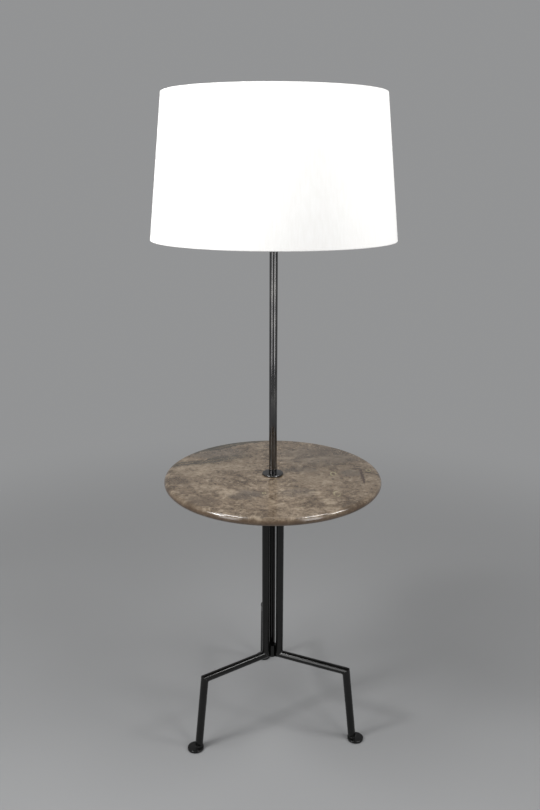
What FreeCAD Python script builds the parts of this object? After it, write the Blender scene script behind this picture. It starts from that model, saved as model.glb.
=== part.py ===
import FreeCAD, Part
import math
import os
import Sketcher

# A floor lamp with a round stone table on its stem. Three welded steel tube legs rise as
# one stem to a plate under the stone, a single pole goes on up through the table, and a
# harp on the pole carries a tapered drum shade round a screw-base bulb.
# Millimetres and degrees. The origin is on the floor on the pole's axis, +Z is up, -Y is
# the front, and the rear leg points along +Y.

DRIVING_SIZES = {
    # the whole lamp
    "overall_height": 1549.4,
    # the legs: one tube size throughout, mitred at both bends
    "tube_diameter": 19.0,
    "tube_wall": 1.5,
    "stem_reach": 20.0,
    "arm_height": 190.0,
    "knee_reach": 203.0,
    "ankle_reach": 224.0,
    "rear_leg_extra": 32.0,
    "first_leg_angle": 90.0,
    "spacer_height": 32.0,
    # the feet
    "foot_reach": 233.5,
    "foot_diameter": 40.0,
    "foot_thickness": 5.0,
    "foot_edge_radius": 1.2,
    "glide_diameter": 34.0,
    "glide_thickness": 1.5,
    # the table
    "table_height": 682.0,
    "table_diameter": 524.0,
    "table_thickness": 20.0,
    "table_hole": 14.0,
    "table_clear_diameter": 54.0,
    "cushion_diameter": 200.0,
    "cushion_thickness": 2.0,
    "plate_diameter": 210.0,
    "plate_thickness": 5.0,
    "plate_edge": 1.0,
    # the flange on the stone
    "gasket_diameter": 46.0,
    "gasket_thickness": 1.0,
    "flange_diameter": 51.0,
    "flange_thickness": 3.2,
    "flange_edge_radius": 1.4,
    # the hollow threaded rods that clamp the table and hold the socket
    "rod_diameter": 10.0,
    "rod_bore": 7.0,
    "rod_clearance": 0.05,
    "clamp_rod_bottom": 642.0,
    "clamp_rod_top": 702.0,
    "weld_nut_corners": 18.4,
    "weld_nut_height": 8.0,
    "bushing_diameter": 14.0,
    "bushing_flange": 2.0,
    "bushing_neck": 5.0,
    "bushing_bore": 5.6,
    # the pole
    "pole_wall": 1.2,
    "pole_top": 1294.0,
    "plug_height": 12.0,
    "plug_clearance": 0.05,
    # the harp and its saddle
    "saddle_thickness": 1.6,
    "saddle_width": 13.0,
    "saddle_waist_reach": 15.0,
    "harp_reach": 28.0,
    "harp_wire": 3.8,
    "harp_leg_top": 1332.0,
    "harp_bend_radius": 45.0,
    "harp_bend_angle": 40.0,
    "harp_crown_reach": 12.0,
    "ear_top": 1313.0,
    "ear_wall": 1.3,
    "fit_clearance": 0.05,
    "sleeve_bottom": 1301.0,
    "sleeve_top": 1317.5,
    "sleeve_wall": 1.1,
    "sleeve_bead": 0.7,
    "sleeve_bead_height": 2.5,
    # the stud on the harp's crown
    "stud_seat_diameter": 13.0,
    "stud_seat_height": 8.5,
    "stud_diameter": 6.35,
    "stud_length": 14.0,
    # the socket
    "socket_rod_bottom": 1283.0,
    "socket_rod_top": 1303.0,
    "cap_neck_diameter": 15.0,
    "cap_neck_height": 8.4,
    "cap_shoulder_rise": 2.5,
    "cap_bowl_radius": 7.0,
    "cap_diameter": 34.0,
    "cap_lip_height": 5.0,
    "cap_wall": 0.8,
    "shell_diameter": 32.2,
    "shell_wall": 0.6,
    "shell_bottom": 1315.0,
    "shell_top": 1361.5,
    "shell_bead_height": 3.0,
    "liner_diameter": 30.6,
    "liner_wall": 0.8,
    "liner_bottom": 1316.0,
    "liner_top": 1358.5,
    "block_diameter": 28.6,
    "block_waist_diameter": 22.0,
    "block_bottom": 1308.0,
    "block_shoulder": 1319.0,
    "block_top": 1333.0,
    "screw_shell_diameter": 28.2,
    "screw_shell_wall": 0.5,
    "screw_shell_top": 1357.0,
    "contact_diameter": 8.0,
    "contact_height": 2.0,
    "contact_hole": 12.0,
    "terminal_head": 5.0,
    "terminal_head_height": 1.8,
    "terminal_height": 1313.5,
    "set_screw_diameter": 3.0,
    "set_screw_length": 5.0,
    # the switch in the socket
    "switch_height": 1326.0,
    "switch_shaft": 4.0,
    "switch_shaft_inner": 6.0,
    "switch_shaft_outer": 24.0,
    "switch_hole": 5.2,
    "knob_collar": 10.0,
    "knob_start": 18.5,
    "knob_collar_length": 5.0,
    "knob_length": 17.0,
    "knob_key_width": 15.0,
    "knob_end_thickness": 2.5,
    "knob_end_radius": 1.4,
    "knob_side_radius": 16.5,
    # the bulb
    "bulb_diameter": 60.0,
    "bulb_length": 112.0,
    "bulb_neck": 28.0,
    "bulb_waist_angle": 40.0,
    "bulb_glass_wall": 1.0,
    "bulb_base_diameter": 26.2,
    "bulb_base_top": 1362.0,
    "bulb_base_bottom": 1337.0,
    "bulb_base_heel": 14.0,
    "bulb_tip_diameter": 9.0,
    # the shade
    "shade_height": 307.4,
    "shade_top_diameter": 483.0,
    "shade_bottom_diameter": 548.0,
    "cover_thickness": 0.6,
    "lining_thickness": 0.9,
    "ring_wire": 3.0,
    "hem_width": 5.5,
    "hem_depth": 4.2,
    "ring_clearance": 0.06,
    "spider_drop": 25.4,
    "spider_wire": 3.0,
    "first_spider_angle": 90.0,
    "hub_diameter": 28.0,
    "hub_thickness": 2.0,
    "hub_hole": 7.2,
    # the finial
    "finial_height": 22.0,
    "finial_foot_diameter": 15.0,
    "finial_foot_height": 2.0,
    "finial_neck_diameter": 10.0,
    "finial_ball_diameter": 15.6,
    "finial_bore_depth": 15.0,
    "finial_tip_diameter": 5.0,
    "finial_tip_height": 2.0,
}

LEG_NAMES = ["rear", "front_left", "front_right"]
THIRD_OF_A_TURN = 120.0
QUARTER_TURN = 90.0
HALF_TURN = 180.0
ACROSS = (1, 0, 0)
# the way an arc of an outline bends, seen along the outline
LEFT_TURN = 1
RIGHT_TURN = -1
# two faces or edges this close are the same one
TOUCHING = 0.01


class Size:
    """A size with its number and the sheet formula that gives it."""

    def __init__(self, number, formula):
        self.number = number
        self.formula = formula

    def joined(self, other, sign, number):
        return Size(number, f"({self.formula} {sign} {as_size(other).formula})")

    def __add__(self, other):
        return self.joined(other, "+", self.number + as_size(other).number)

    def __sub__(self, other):
        return self.joined(other, "-", self.number - as_size(other).number)

    def __mul__(self, other):
        return self.joined(other, "*", self.number * as_size(other).number)

    def __truediv__(self, other):
        return self.joined(other, "/", self.number / as_size(other).number)

    def __rsub__(self, other):
        return as_size(other) - self

    def __neg__(self):
        return Size(-self.number, f"(-{self.formula})")


def as_size(value):
    """Gives a plain number the same form as a size from the sheet."""
    return value if isinstance(value, Size) else Size(float(value), f"({value})")


def cosine(angle):
    return Size(math.cos(math.radians(angle.number)), f"cos({angle.formula})")


def sine(angle):
    return Size(math.sin(math.radians(angle.number)), f"sin({angle.formula})")


def slope_angle(across, up):
    """The angle from upright of a line that goes so far across and so far up."""
    number = math.degrees(math.atan2(across.number, up.number))
    return Size(number, f"(atan2({across.formula}; {up.formula}) / 1 deg)")


def root(value):
    return Size(math.sqrt(value.number), f"sqrt({value.formula})")


class SizeSheet:
    """The spreadsheet of driving sizes; each one is read as an attribute by its name."""

    def __init__(self, document, numbers):
        self.sheet = document.addObject("Spreadsheet::Sheet", "Sizes")
        self.numbers = numbers
        for row, (name, number) in enumerate(numbers.items(), start=1):
            self.sheet.set(f"A{row}", name)
            self.sheet.set(f"B{row}", str(number))
            self.sheet.setAlias(f"B{row}", name)

    def __getattr__(self, name):
        return Size(self.numbers[name], f"Sizes.{name}")


doc = FreeCAD.newDocument("floor_lamp")
size = SizeSheet(doc, DRIVING_SIZES)
doc.recompute()
pieces = {}


def piece(node, shape_object):
    """Names a finished sub-part and keeps it for the export."""
    shape_object.Label = node
    pieces[node] = shape_object
    return shape_object


def bind(target, **formulas):
    """Binds properties of an object to sizes; double underscores stand for dots."""
    for name, value in formulas.items():
        target.setExpression(name.replace("__", "."), as_size(value).formula)


def cylinder(name, radius, height, x=0.0, y=0.0, z=0.0, lean=0.0, lean_axis=(0, 1, 0)):
    """A cylinder from its base centre; lean turns its axis from +Z about the lean axis."""
    rod = doc.addObject("Part::Cylinder", name)
    turn = FreeCAD.Rotation(FreeCAD.Vector(*lean_axis), as_size(lean).number)
    rod.Placement = FreeCAD.Placement(FreeCAD.Vector(), turn)
    bind(rod, Radius=radius, Height=height)
    bind(rod, Placement__Base__x=x, Placement__Base__y=y, Placement__Base__z=z)
    if as_size(lean).number:
        bind(rod, Placement__Rotation__Angle=lean)
    return rod


def cut(name, base, *tools):
    """Cuts each tool from the base in turn."""
    for number, tool in enumerate(tools, start=1):
        last = number == len(tools)
        result = doc.addObject("Part::Cut", name if last else f"{name}_cut{number}")
        result.Base = base
        result.Tool = tool
        base = result
    return base


def fuse(name, *parts):
    result = doc.addObject("Part::MultiFuse", name)
    result.Shapes = list(parts)
    return result


def turned_about_z(target, angle):
    """Turns a finished sub-part about the lamp's axis."""
    upright = FreeCAD.Vector(0, 0, 1)
    target.Placement = FreeCAD.Placement(FreeCAD.Vector(), FreeCAD.Rotation(upright, angle.number))
    bind(target, Placement__Rotation__Angle=angle)
    return target


def level_axis(angle):
    """The level axis about which +Z leans towards an angle round the lamp."""
    turn = math.radians(angle.number)
    return (-math.sin(turn), math.cos(turn), 0.0)


def arc_centre(start, end, radius, turn):
    """The centre of the arc of under a half circle from start to end."""
    middle = (start + end) * 0.5
    chord = end - start
    rise = math.sqrt(max(radius**2 - (chord.Length / 2) ** 2, 0.0))
    side = FreeCAD.Vector(-chord.y, chord.x, 0).normalize()
    return middle + side * (rise * turn)


def outline_edge(start, end, radius, turn):
    """One edge of an outline with the numbers of its start and end points."""
    if radius is None:
        return Part.LineSegment(start, end), (1, 2)
    centre = arc_centre(start, end, radius, turn)
    circle = Part.Circle(centre, FreeCAD.Vector(0, 0, 1), radius)
    first, last = (start, end) if turn == LEFT_TURN else (end, start)
    angles = [math.atan2(point.y - centre.y, point.x - centre.x) for point in (first, last)]
    points = (1, 2) if turn == LEFT_TURN else (2, 1)
    return Part.ArcOfCircle(circle, angles[0], angles[1]), points


def place_point(sketch, edge, point, across, up, name):
    """Ties a point of the outline to its sizes across and up."""
    if across.number == 0:
        sketch.addConstraint(Sketcher.Constraint("PointOnObject", edge, point, -2))
    else:
        row = sketch.addConstraint(Sketcher.Constraint("DistanceX", edge, point, across.number))
        sketch.renameConstraint(row, f"{name}_across")
        sketch.setExpression(f"Constraints.{name}_across", across.formula)
    row = sketch.addConstraint(Sketcher.Constraint("DistanceY", edge, point, up.number))
    sketch.renameConstraint(row, f"{name}_up")
    sketch.setExpression(f"Constraints.{name}_up", up.formula)


def outline_sketch(owner, name, plane_role, corners, closed=True):
    """Draws an outline through its corners, each (across, up) and reached by a straight
    line, or (across, up, radius, turn) and reached by an arc."""
    if owner is None:
        sketch = doc.addObject("Sketcher::SketchObject", name)
        sketch.Placement = FreeCAD.Placement(
            FreeCAD.Vector(), FreeCAD.Rotation(FreeCAD.Vector(*ACROSS), QUARTER_TURN))
    else:
        sketch = owner.newObject("Sketcher::SketchObject", name)
        plane = next(item for item in owner.Origin.OriginFeatures if item.Role == plane_role)
        sketch.AttachmentSupport = (plane, [""])
        sketch.MapMode = "FlatFace"
    corners = [tuple(as_size(value) for value in corner[:3]) + tuple(corner[3:]) for corner in corners]
    points = [FreeCAD.Vector(corner[0].number, corner[1].number, 0) for corner in corners]
    ends = []
    for index in range(0 if closed else 1, len(corners)):
        corner = corners[index]
        radius = corner[2].number if len(corner) > 2 else None
        turn = corner[3] if len(corner) > 3 else None
        shape, point_pair = outline_edge(points[index - 1], points[index], radius, turn)
        edge = sketch.addGeometry(shape, False)
        ends.append((edge, point_pair))
        if radius is not None:
            row = sketch.addConstraint(Sketcher.Constraint("Radius", edge, radius))
            sketch.renameConstraint(row, f"bend{index}")
            sketch.setExpression(f"Constraints.bend{index}", corner[2].formula)
    if closed:
        links = zip(ends, ends[1:] + ends[:1])
    else:
        links = zip(ends, ends[1:])
    for (edge, (_, end)), (next_edge, (start, _)) in links:
        sketch.addConstraint(Sketcher.Constraint("Coincident", edge, end, next_edge, start))
    placed = corners if closed else corners[1:]
    for index, (corner, (edge, (_, end))) in enumerate(zip(placed, ends)):
        place_point(sketch, edge, end, corner[0], corner[1], f"corner{index}")
    if not closed:
        edge, (start, _) = ends[0]
        place_point(sketch, edge, start, corners[0][0], corners[0][1], "first")
    return sketch


def turned(name, corners, keep_seams=False):
    """A body turned about the lamp's axis from an outline of (radius, height) corners;
    kept seams leave a face in two where a corner lies part way along a straight line."""
    body = doc.addObject("PartDesign::Body", name)
    sketch = outline_sketch(body, f"{name}_outline", "XZ_Plane", corners)
    turning = body.newObject("PartDesign::Revolution", f"{name}_turning")
    turning.Profile = sketch
    turning.ReferenceAxis = (sketch, ["V_Axis"])
    turning.Refine = not keep_seams
    return body


def ring_outline(inner, outer, bottom, top):
    """The outline of a plain ring or tube."""
    return [(inner, bottom), (outer, bottom), (outer, top), (inner, top)]


def padded(body, name, corners, length, lift=None):
    """Adds a flat outline of (x, y) corners to a body, raised by its length."""
    sketch = outline_sketch(body, f"{name}_outline", "XY_Plane", corners)
    if lift is not None:
        sketch.setExpression("AttachmentOffset.Base.z", lift.formula)
    pad = body.newObject("PartDesign::Pad", name)
    pad.Profile = sketch
    bind(pad, Length=length)
    return pad


# Heights and radii that several sub-parts share.
tube_radius = size.tube_diameter / 2
bore_radius = tube_radius - size.tube_wall
pad_top = size.glide_thickness + size.foot_thickness
table_bottom = size.table_height - size.table_thickness
cushion_bottom = table_bottom - size.cushion_thickness
plate_bottom = cushion_bottom - size.plate_thickness
rod_radius = size.rod_diameter / 2
rod_hole_radius = rod_radius + size.rod_clearance
gasket_top = size.table_height + size.gasket_thickness
flange_top = gasket_top + size.flange_thickness
pole_bore_radius = tube_radius - size.pole_wall
saddle_top = size.pole_top + size.saddle_thickness
hub_bottom = size.overall_height - size.spider_drop
hub_top = hub_bottom + size.hub_thickness
shade_bottom = size.overall_height - size.shade_height
# the harp's wire lies in the saddle's ears, and the sleeves cover both
wire_radius = size.harp_wire / 2
channel_radius = wire_radius + size.fit_clearance
ear_radius = channel_radius + size.ear_wall
sleeve_bore_radius = ear_radius + size.fit_clearance
sleeve_radius = sleeve_bore_radius + size.sleeve_wall


def leg_tube(name, length, reach, height, lean, leg_angle, *cutters):
    """A leg tube along its lean, trimmed by the cutters and turned to its leg's angle."""
    outside = cylinder(f"{name}_outside", tube_radius, length, reach, 0, height, lean)
    bore = cylinder(f"{name}_bore", bore_radius, length, reach, 0, height, lean)
    return piece(name, turned_about_z(cut(name, outside, bore, *cutters), leg_angle))


def trimmer(name, reach, height, lean):
    """A flat-ended cutter whose end face lies on a mitre, facing along its lean."""
    return cylinder(name, size.tube_diameter * 2, size.tube_diameter * 4, reach, 0, height, lean)


def make_leg(leg, leg_angle, extra_reach):
    """An upright, a level arm and a splayed shin in one plane, mitred and welded, with a
    round steel foot and a felt glide under the shin."""
    knee_reach = size.knee_reach + extra_reach
    ankle_reach = size.ankle_reach + extra_reach
    splay = slope_angle(ankle_reach - knee_reach, size.arm_height - pad_top)
    spare = size.tube_diameter
    stem_mitre = as_size(QUARTER_TURN + QUARTER_TURN / 2)
    knee_mitre = stem_mitre - splay / 2

    low_end = size.arm_height - spare
    leg_tube(
        f"upright_tube_{leg}", plate_bottom - low_end, size.stem_reach, low_end, 0.0, leg_angle,
        trimmer(f"upright_mitre_{leg}", size.stem_reach, size.arm_height, stem_mitre))

    arm_length = knee_reach - size.stem_reach + spare * 2
    leg_tube(
        f"arm_tube_{leg}", arm_length, size.stem_reach - spare, size.arm_height,
        as_size(QUARTER_TURN), leg_angle,
        trimmer(
            f"arm_inner_mitre_{leg}", size.stem_reach, size.arm_height, stem_mitre - HALF_TURN),
        trimmer(f"arm_outer_mitre_{leg}", knee_reach, size.arm_height, knee_mitre))

    shin_lean = HALF_TURN - splay
    run_back = spare / cosine(splay)
    shin_length = root(
        (ankle_reach - knee_reach) * (ankle_reach - knee_reach)
        + (size.arm_height - pad_top) * (size.arm_height - pad_top)) + run_back * 2
    leg_tube(
        f"shin_tube_{leg}", shin_length,
        knee_reach - run_back * sine(splay), size.arm_height + run_back * cosine(splay),
        shin_lean, leg_angle,
        trimmer(f"shin_mitre_{leg}", knee_reach, size.arm_height, knee_mitre - HALF_TURN),
        trimmer(f"shin_foot_cut_{leg}", ankle_reach, pad_top, as_size(HALF_TURN)))

    make_foot(leg, leg_angle, size.foot_reach + extra_reach)


def make_foot(leg, leg_angle, foot_reach):
    """A thick steel disc with an eased top edge, and a thinner felt disc stuck under it."""
    across = foot_reach * cosine(leg_angle)
    along = foot_reach * sine(leg_angle)
    disc = cylinder(
        f"foot_disc_{leg}", size.foot_diameter / 2, size.foot_thickness,
        across, along, size.glide_thickness)
    eased = doc.addObject("Part::Fillet", f"foot_pad_{leg}")
    eased.Base = disc
    doc.recompute()
    edge_radius = size.foot_edge_radius.number
    top = pad_top.number
    rims = [
        number for number, edge in enumerate(disc.Shape.Edges, start=1)
        if abs(edge.BoundBox.ZMin - top) < TOUCHING and abs(edge.BoundBox.ZMax - top) < TOUCHING]
    eased.Edges = [(number, edge_radius, edge_radius) for number in rims]
    piece(f"foot_pad_{leg}", eased)
    piece(f"foot_glide_{leg}", cylinder(
        f"foot_glide_{leg}", size.glide_diameter / 2, size.glide_thickness, across, along))


def make_support():
    """The slug welded between the feet of the uprights, the round plate welded on top of
    them, the nut welded under it, and the rubber disc that the stone lies on."""
    piece("stem_spacer", cylinder(
        "stem_spacer", size.stem_reach - tube_radius, size.spacer_height,
        z=size.arm_height - tube_radius))
    outer = size.plate_diameter / 2
    piece("support_plate", turned("support_plate", [
        (rod_hole_radius, plate_bottom),
        (outer - size.plate_edge, plate_bottom),
        (outer, plate_bottom + size.plate_edge),
        (outer, cushion_bottom - size.plate_edge),
        (outer - size.plate_edge, cushion_bottom),
        (rod_hole_radius, cushion_bottom),
    ]))
    hexagon = doc.addObject("Part::Prism", "weld_nut_blank")
    hexagon.Polygon = 6
    bind(hexagon, Circumradius=size.weld_nut_corners / 2, Height=size.weld_nut_height)
    bind(hexagon, Placement__Base__z=plate_bottom - size.weld_nut_height)
    thread_hole = cylinder(
        "weld_nut_hole", rod_hole_radius, size.weld_nut_height,
        z=plate_bottom - size.weld_nut_height)
    piece("weld_nut", cut("weld_nut", hexagon, thread_hole))
    piece("cushion_disc", turned("cushion_disc", ring_outline(
        size.table_hole / 2, size.cushion_diameter / 2, cushion_bottom, table_bottom)))


def make_table():
    """The stone disc with its rounded edge, and the flange that clamps it at the pole."""
    edge = size.table_thickness / 2
    flat = size.table_diameter / 2 - edge
    # the clear face round the flange, where things stand, is a face of its own
    piece("stone_top", turned("stone_top", [
        (size.table_hole / 2, table_bottom),
        (flat, table_bottom),
        (flat + edge, table_bottom + edge, edge, LEFT_TURN),
        (flat, size.table_height, edge, LEFT_TURN),
        (size.table_clear_diameter / 2, size.table_height),
        (size.table_hole / 2, size.table_height),
    ], keep_seams=True))
    piece("flange_gasket", turned("flange_gasket", ring_outline(
        rod_hole_radius, size.gasket_diameter / 2, size.table_height, gasket_top)))
    outer = size.flange_diameter / 2
    ease = size.flange_edge_radius
    piece("base_flange", turned("base_flange", [
        (rod_hole_radius, gasket_top),
        (outer, gasket_top),
        (outer, flange_top - ease),
        (outer - ease, flange_top, ease, LEFT_TURN),
        (rod_hole_radius, flange_top),
    ]))


def make_clamp_rod():
    """The hollow threaded rod through the table, with the plastic cord bushing at its foot."""
    piece("clamp_rod", turned("clamp_rod", ring_outline(
        size.rod_bore / 2, rod_radius, size.clamp_rod_bottom, size.clamp_rod_top)))
    neck = size.rod_bore / 2 - size.rod_clearance
    bottom = size.clamp_rod_bottom - size.bushing_flange
    piece("cord_bushing", turned("cord_bushing", [
        (size.bushing_bore / 2, bottom),
        (size.bushing_diameter / 2 - size.rod_clearance, bottom),
        (size.bushing_diameter / 2, size.clamp_rod_bottom),
        (neck, size.clamp_rod_bottom),
        (neck, size.clamp_rod_bottom + size.bushing_neck),
        (size.bushing_bore / 2, size.clamp_rod_bottom + size.bushing_neck),
    ]))


def make_pole():
    """The tube above the table, with a threaded steel plug pressed into each end."""
    piece("pole_tube", turned("pole_tube", ring_outline(
        pole_bore_radius, tube_radius, flange_top, size.pole_top)))
    plug_radius = pole_bore_radius - size.plug_clearance
    for node, bottom in (
            ("pole_plug_lower", flange_top),
            ("pole_plug_upper", size.pole_top - size.plug_height)):
        piece(node, turned(node, ring_outline(
            rod_hole_radius, plug_radius, bottom, bottom + size.plug_height)))
    piece("socket_rod", turned("socket_rod", ring_outline(
        size.rod_bore / 2, rod_radius, size.socket_rod_bottom, size.socket_rod_top)))


def make_saddle():
    """The harp's lower bracket: a flat steel strip with a half-round ear at each end."""
    body = doc.addObject("PartDesign::Body", "harp_saddle_strip")
    half_width = size.saddle_width / 2
    waist = size.saddle_waist_reach
    padded(body, "saddle_strip", [
        (-waist, -half_width),
        (waist, -half_width),
        (size.harp_reach, -ear_radius),
        (size.harp_reach + ear_radius, 0.0, ear_radius, LEFT_TURN),
        (size.harp_reach, ear_radius, ear_radius, LEFT_TURN),
        (waist, half_width),
        (-waist, half_width),
        (-size.harp_reach, ear_radius),
        (-size.harp_reach - ear_radius, 0.0, ear_radius, LEFT_TURN),
        (-size.harp_reach, -ear_radius, ear_radius, LEFT_TURN),
    ], size.saddle_thickness, lift=size.pole_top)
    ear_height = size.ear_top - saddle_top
    for side, turn in ((1, LEFT_TURN), (-1, RIGHT_TURN)):
        reach = size.harp_reach * side
        padded(body, "saddle_ear_right" if side == 1 else "saddle_ear_left", [
            (reach, -ear_radius),
            (reach + ear_radius * side, 0.0, ear_radius, turn),
            (reach, ear_radius, ear_radius, turn),
            (reach, channel_radius),
            (reach + channel_radius * side, 0.0, channel_radius, -turn),
            (reach, -channel_radius, channel_radius, -turn),
        ], ear_height, lift=saddle_top)
    rod_hole = cylinder(
        "harp_saddle_hole", rod_hole_radius, size.saddle_thickness * 3,
        z=size.pole_top - size.saddle_thickness)
    piece("harp_saddle", cut("harp_saddle", body, rod_hole))


def make_harp():
    """The wire loop round the bulb, two sleeves that lock its feet, and the crown stud."""
    rise = size.harp_bend_radius * sine(size.harp_bend_angle)
    swell = size.harp_bend_radius * (1.0 - cosine(size.harp_bend_angle))
    shoulder = size.harp_reach + swell
    widest = size.harp_reach + swell * 2
    crown_height = hub_bottom - size.stud_seat_height / 2
    side_top = crown_height - (widest - size.harp_crown_reach)
    crown_bend = widest - size.harp_crown_reach
    path = outline_sketch(None, "harp_path", None, [
        (size.harp_reach, saddle_top),
        (size.harp_reach, size.harp_leg_top),
        (shoulder, size.harp_leg_top + rise, size.harp_bend_radius, RIGHT_TURN),
        (widest, size.harp_leg_top + rise * 2, size.harp_bend_radius, LEFT_TURN),
        (widest, side_top),
        (size.harp_crown_reach, crown_height, crown_bend, LEFT_TURN),
        (-size.harp_crown_reach, crown_height),
        (-widest, side_top, crown_bend, LEFT_TURN),
        (-widest, size.harp_leg_top + rise * 2),
        (-shoulder, size.harp_leg_top + rise, size.harp_bend_radius, LEFT_TURN),
        (-size.harp_reach, size.harp_leg_top, size.harp_bend_radius, RIGHT_TURN),
        (-size.harp_reach, saddle_top),
    ], closed=False)
    section = doc.addObject("Part::Circle", "harp_section")
    bind(section, Radius=wire_radius)
    bind(section, Placement__Base__x=size.harp_reach, Placement__Base__z=saddle_top)
    harp = doc.addObject("Part::Sweep", "harp_wire")
    harp.Sections = [section]
    doc.recompute()
    harp.Spine = (path, [f"Edge{number + 1}" for number in range(len(path.Shape.Edges))])
    harp.Solid = True
    harp.Frenet = False
    piece("harp_wire", harp)

    for node, side in (("harp_sleeve_left", -1), ("harp_sleeve_right", 1)):
        make_sleeve(node, size.harp_reach * side)

    seat_bottom = hub_bottom - size.stud_seat_height
    stud = turned("harp_stud_blank", [
        (0, seat_bottom),
        (size.stud_seat_diameter / 2, seat_bottom),
        (size.stud_seat_diameter / 2, hub_bottom),
        (size.stud_diameter / 2, hub_bottom),
        (size.stud_diameter / 2, hub_bottom + size.stud_length),
        (0, hub_bottom + size.stud_length),
    ])
    wire_hole = cylinder(
        "harp_stud_hole", channel_radius, size.stud_seat_diameter * 2,
        x=-size.stud_seat_diameter, z=crown_height, lean=QUARTER_TURN)
    piece("harp_stud", cut("harp_stud", stud, wire_hole))


def make_sleeve(node, reach):
    """A stepped sleeve: its wide bore covers the saddle's ear, its narrow end slides on
    the harp's wire, and a bead round its foot gives a grip."""
    sleeve = turned(f"{node}_blank", [
        (sleeve_bore_radius, size.sleeve_bottom),
        (sleeve_radius + size.sleeve_bead, size.sleeve_bottom),
        (sleeve_radius + size.sleeve_bead, size.sleeve_bottom + size.sleeve_bead_height),
        (sleeve_radius, size.sleeve_bottom + size.sleeve_bead_height + size.sleeve_bead),
        (sleeve_radius, size.sleeve_top - size.sleeve_bead),
        (sleeve_radius - size.sleeve_bead, size.sleeve_top),
        (channel_radius, size.sleeve_top),
        (channel_radius, size.ear_top),
        (sleeve_bore_radius, size.ear_top),
    ])
    bind(sleeve, Placement__Base__x=reach)
    piece(node, sleeve)


def make_socket():
    """The pressed socket shell and cap, its insulating liner, the block with the switch,
    the screw shell for the bulb, the contact and the screws."""
    neck = size.cap_neck_diameter / 2
    outer = size.cap_diameter / 2
    wall = size.cap_wall
    neck_top = saddle_top + size.cap_neck_height
    bowl = size.cap_bowl_radius
    shoulder_top = neck_top + size.cap_shoulder_rise
    bowl_top = shoulder_top + bowl
    cap = turned("socket_cap_blank", [
        (rod_hole_radius, saddle_top),
        (neck, saddle_top),
        (neck, neck_top),
        (outer - bowl, shoulder_top),
        (outer, bowl_top, bowl, LEFT_TURN),
        (outer, bowl_top + size.cap_lip_height),
        (outer - wall, bowl_top + size.cap_lip_height),
        (outer - wall, bowl_top),
        (outer - bowl, shoulder_top + wall, bowl - wall, RIGHT_TURN),
        (neck, neck_top + wall),
        (rod_hole_radius, neck_top + wall),
    ])
    screw_place = saddle_top + size.cap_neck_height / 2
    screw_hole = cylinder(
        "set_screw_hole", size.set_screw_diameter / 2 + size.rod_clearance, size.cap_diameter,
        y=0, z=screw_place, lean=-QUARTER_TURN, lean_axis=ACROSS)
    piece("socket_cap", cut("socket_cap", cap, screw_hole))
    piece("set_screw", cylinder(
        "set_screw", size.set_screw_diameter / 2, size.set_screw_length,
        y=rod_radius + size.rod_clearance, z=screw_place, lean=-QUARTER_TURN, lean_axis=ACROSS))

    shell_outer = size.shell_diameter / 2
    shell_inner = shell_outer - size.shell_wall
    bead_low = size.shell_top - size.shell_bead_height
    bead_radius = size.shell_bead_height / 2 + size.rod_clearance
    shell = turned("socket_shell_blank", [
        (shell_inner, size.shell_bottom),
        (shell_outer, size.shell_bottom),
        (shell_outer, bead_low),
        (shell_outer, size.shell_top, bead_radius, LEFT_TURN),
        (shell_inner, size.shell_top),
    ])
    piece("socket_shell", cut("socket_shell", shell, switch_hole("socket_shell")))

    liner_outer = size.liner_diameter / 2
    liner = turned("socket_liner_blank", ring_outline(
        liner_outer - size.liner_wall, liner_outer, size.liner_bottom, size.liner_top))
    piece("socket_liner", cut("socket_liner", liner, switch_hole("socket_liner")))

    block = turned("socket_block_blank", [
        (0, size.block_bottom),
        (size.block_waist_diameter / 2, size.block_bottom),
        (size.block_waist_diameter / 2, size.block_shoulder),
        (size.block_diameter / 2, size.block_shoulder),
        (size.block_diameter / 2, size.block_top),
        (0, size.block_top),
    ])
    shaft_bore = cylinder(
        "socket_block_bore", size.switch_shaft / 2 + size.fit_clearance, size.block_diameter,
        y=-size.switch_shaft_inner, z=size.switch_height, lean=QUARTER_TURN, lean_axis=ACROSS)
    piece("socket_block", cut("socket_block", block, shaft_bore))

    cup_outer = size.screw_shell_diameter / 2
    cup_wall = size.screw_shell_wall
    piece("screw_shell", turned("screw_shell", [
        (size.contact_hole / 2, size.block_top),
        (cup_outer, size.block_top),
        (cup_outer, size.screw_shell_top),
        (cup_outer - cup_wall, size.screw_shell_top),
        (cup_outer - cup_wall, size.block_top + cup_wall),
        (size.contact_hole / 2, size.block_top + cup_wall),
    ]))
    piece("centre_contact", cylinder(
        "centre_contact", size.contact_diameter / 2, size.contact_height, z=size.block_top))
    make_terminal_screws()


def switch_hole(owner):
    """The round hole that the switch shaft passes through, out to the front."""
    return cylinder(
        f"{owner}_switch_hole", size.switch_hole / 2, size.cap_diameter,
        z=size.switch_height, lean=QUARTER_TURN, lean_axis=ACROSS)


def make_terminal_screws():
    """Two round screw heads, left and right on the block's waist."""
    heads = []
    for name, side in (("left", -1), ("right", 1)):
        heads.append(cylinder(
            f"terminal_head_{name}", size.terminal_head / 2, size.terminal_head_height,
            x=size.block_waist_diameter / 2 * side, z=size.terminal_height,
            lean=QUARTER_TURN * side))
    piece("terminal_screws", fuse("terminal_screws", *heads))


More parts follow.
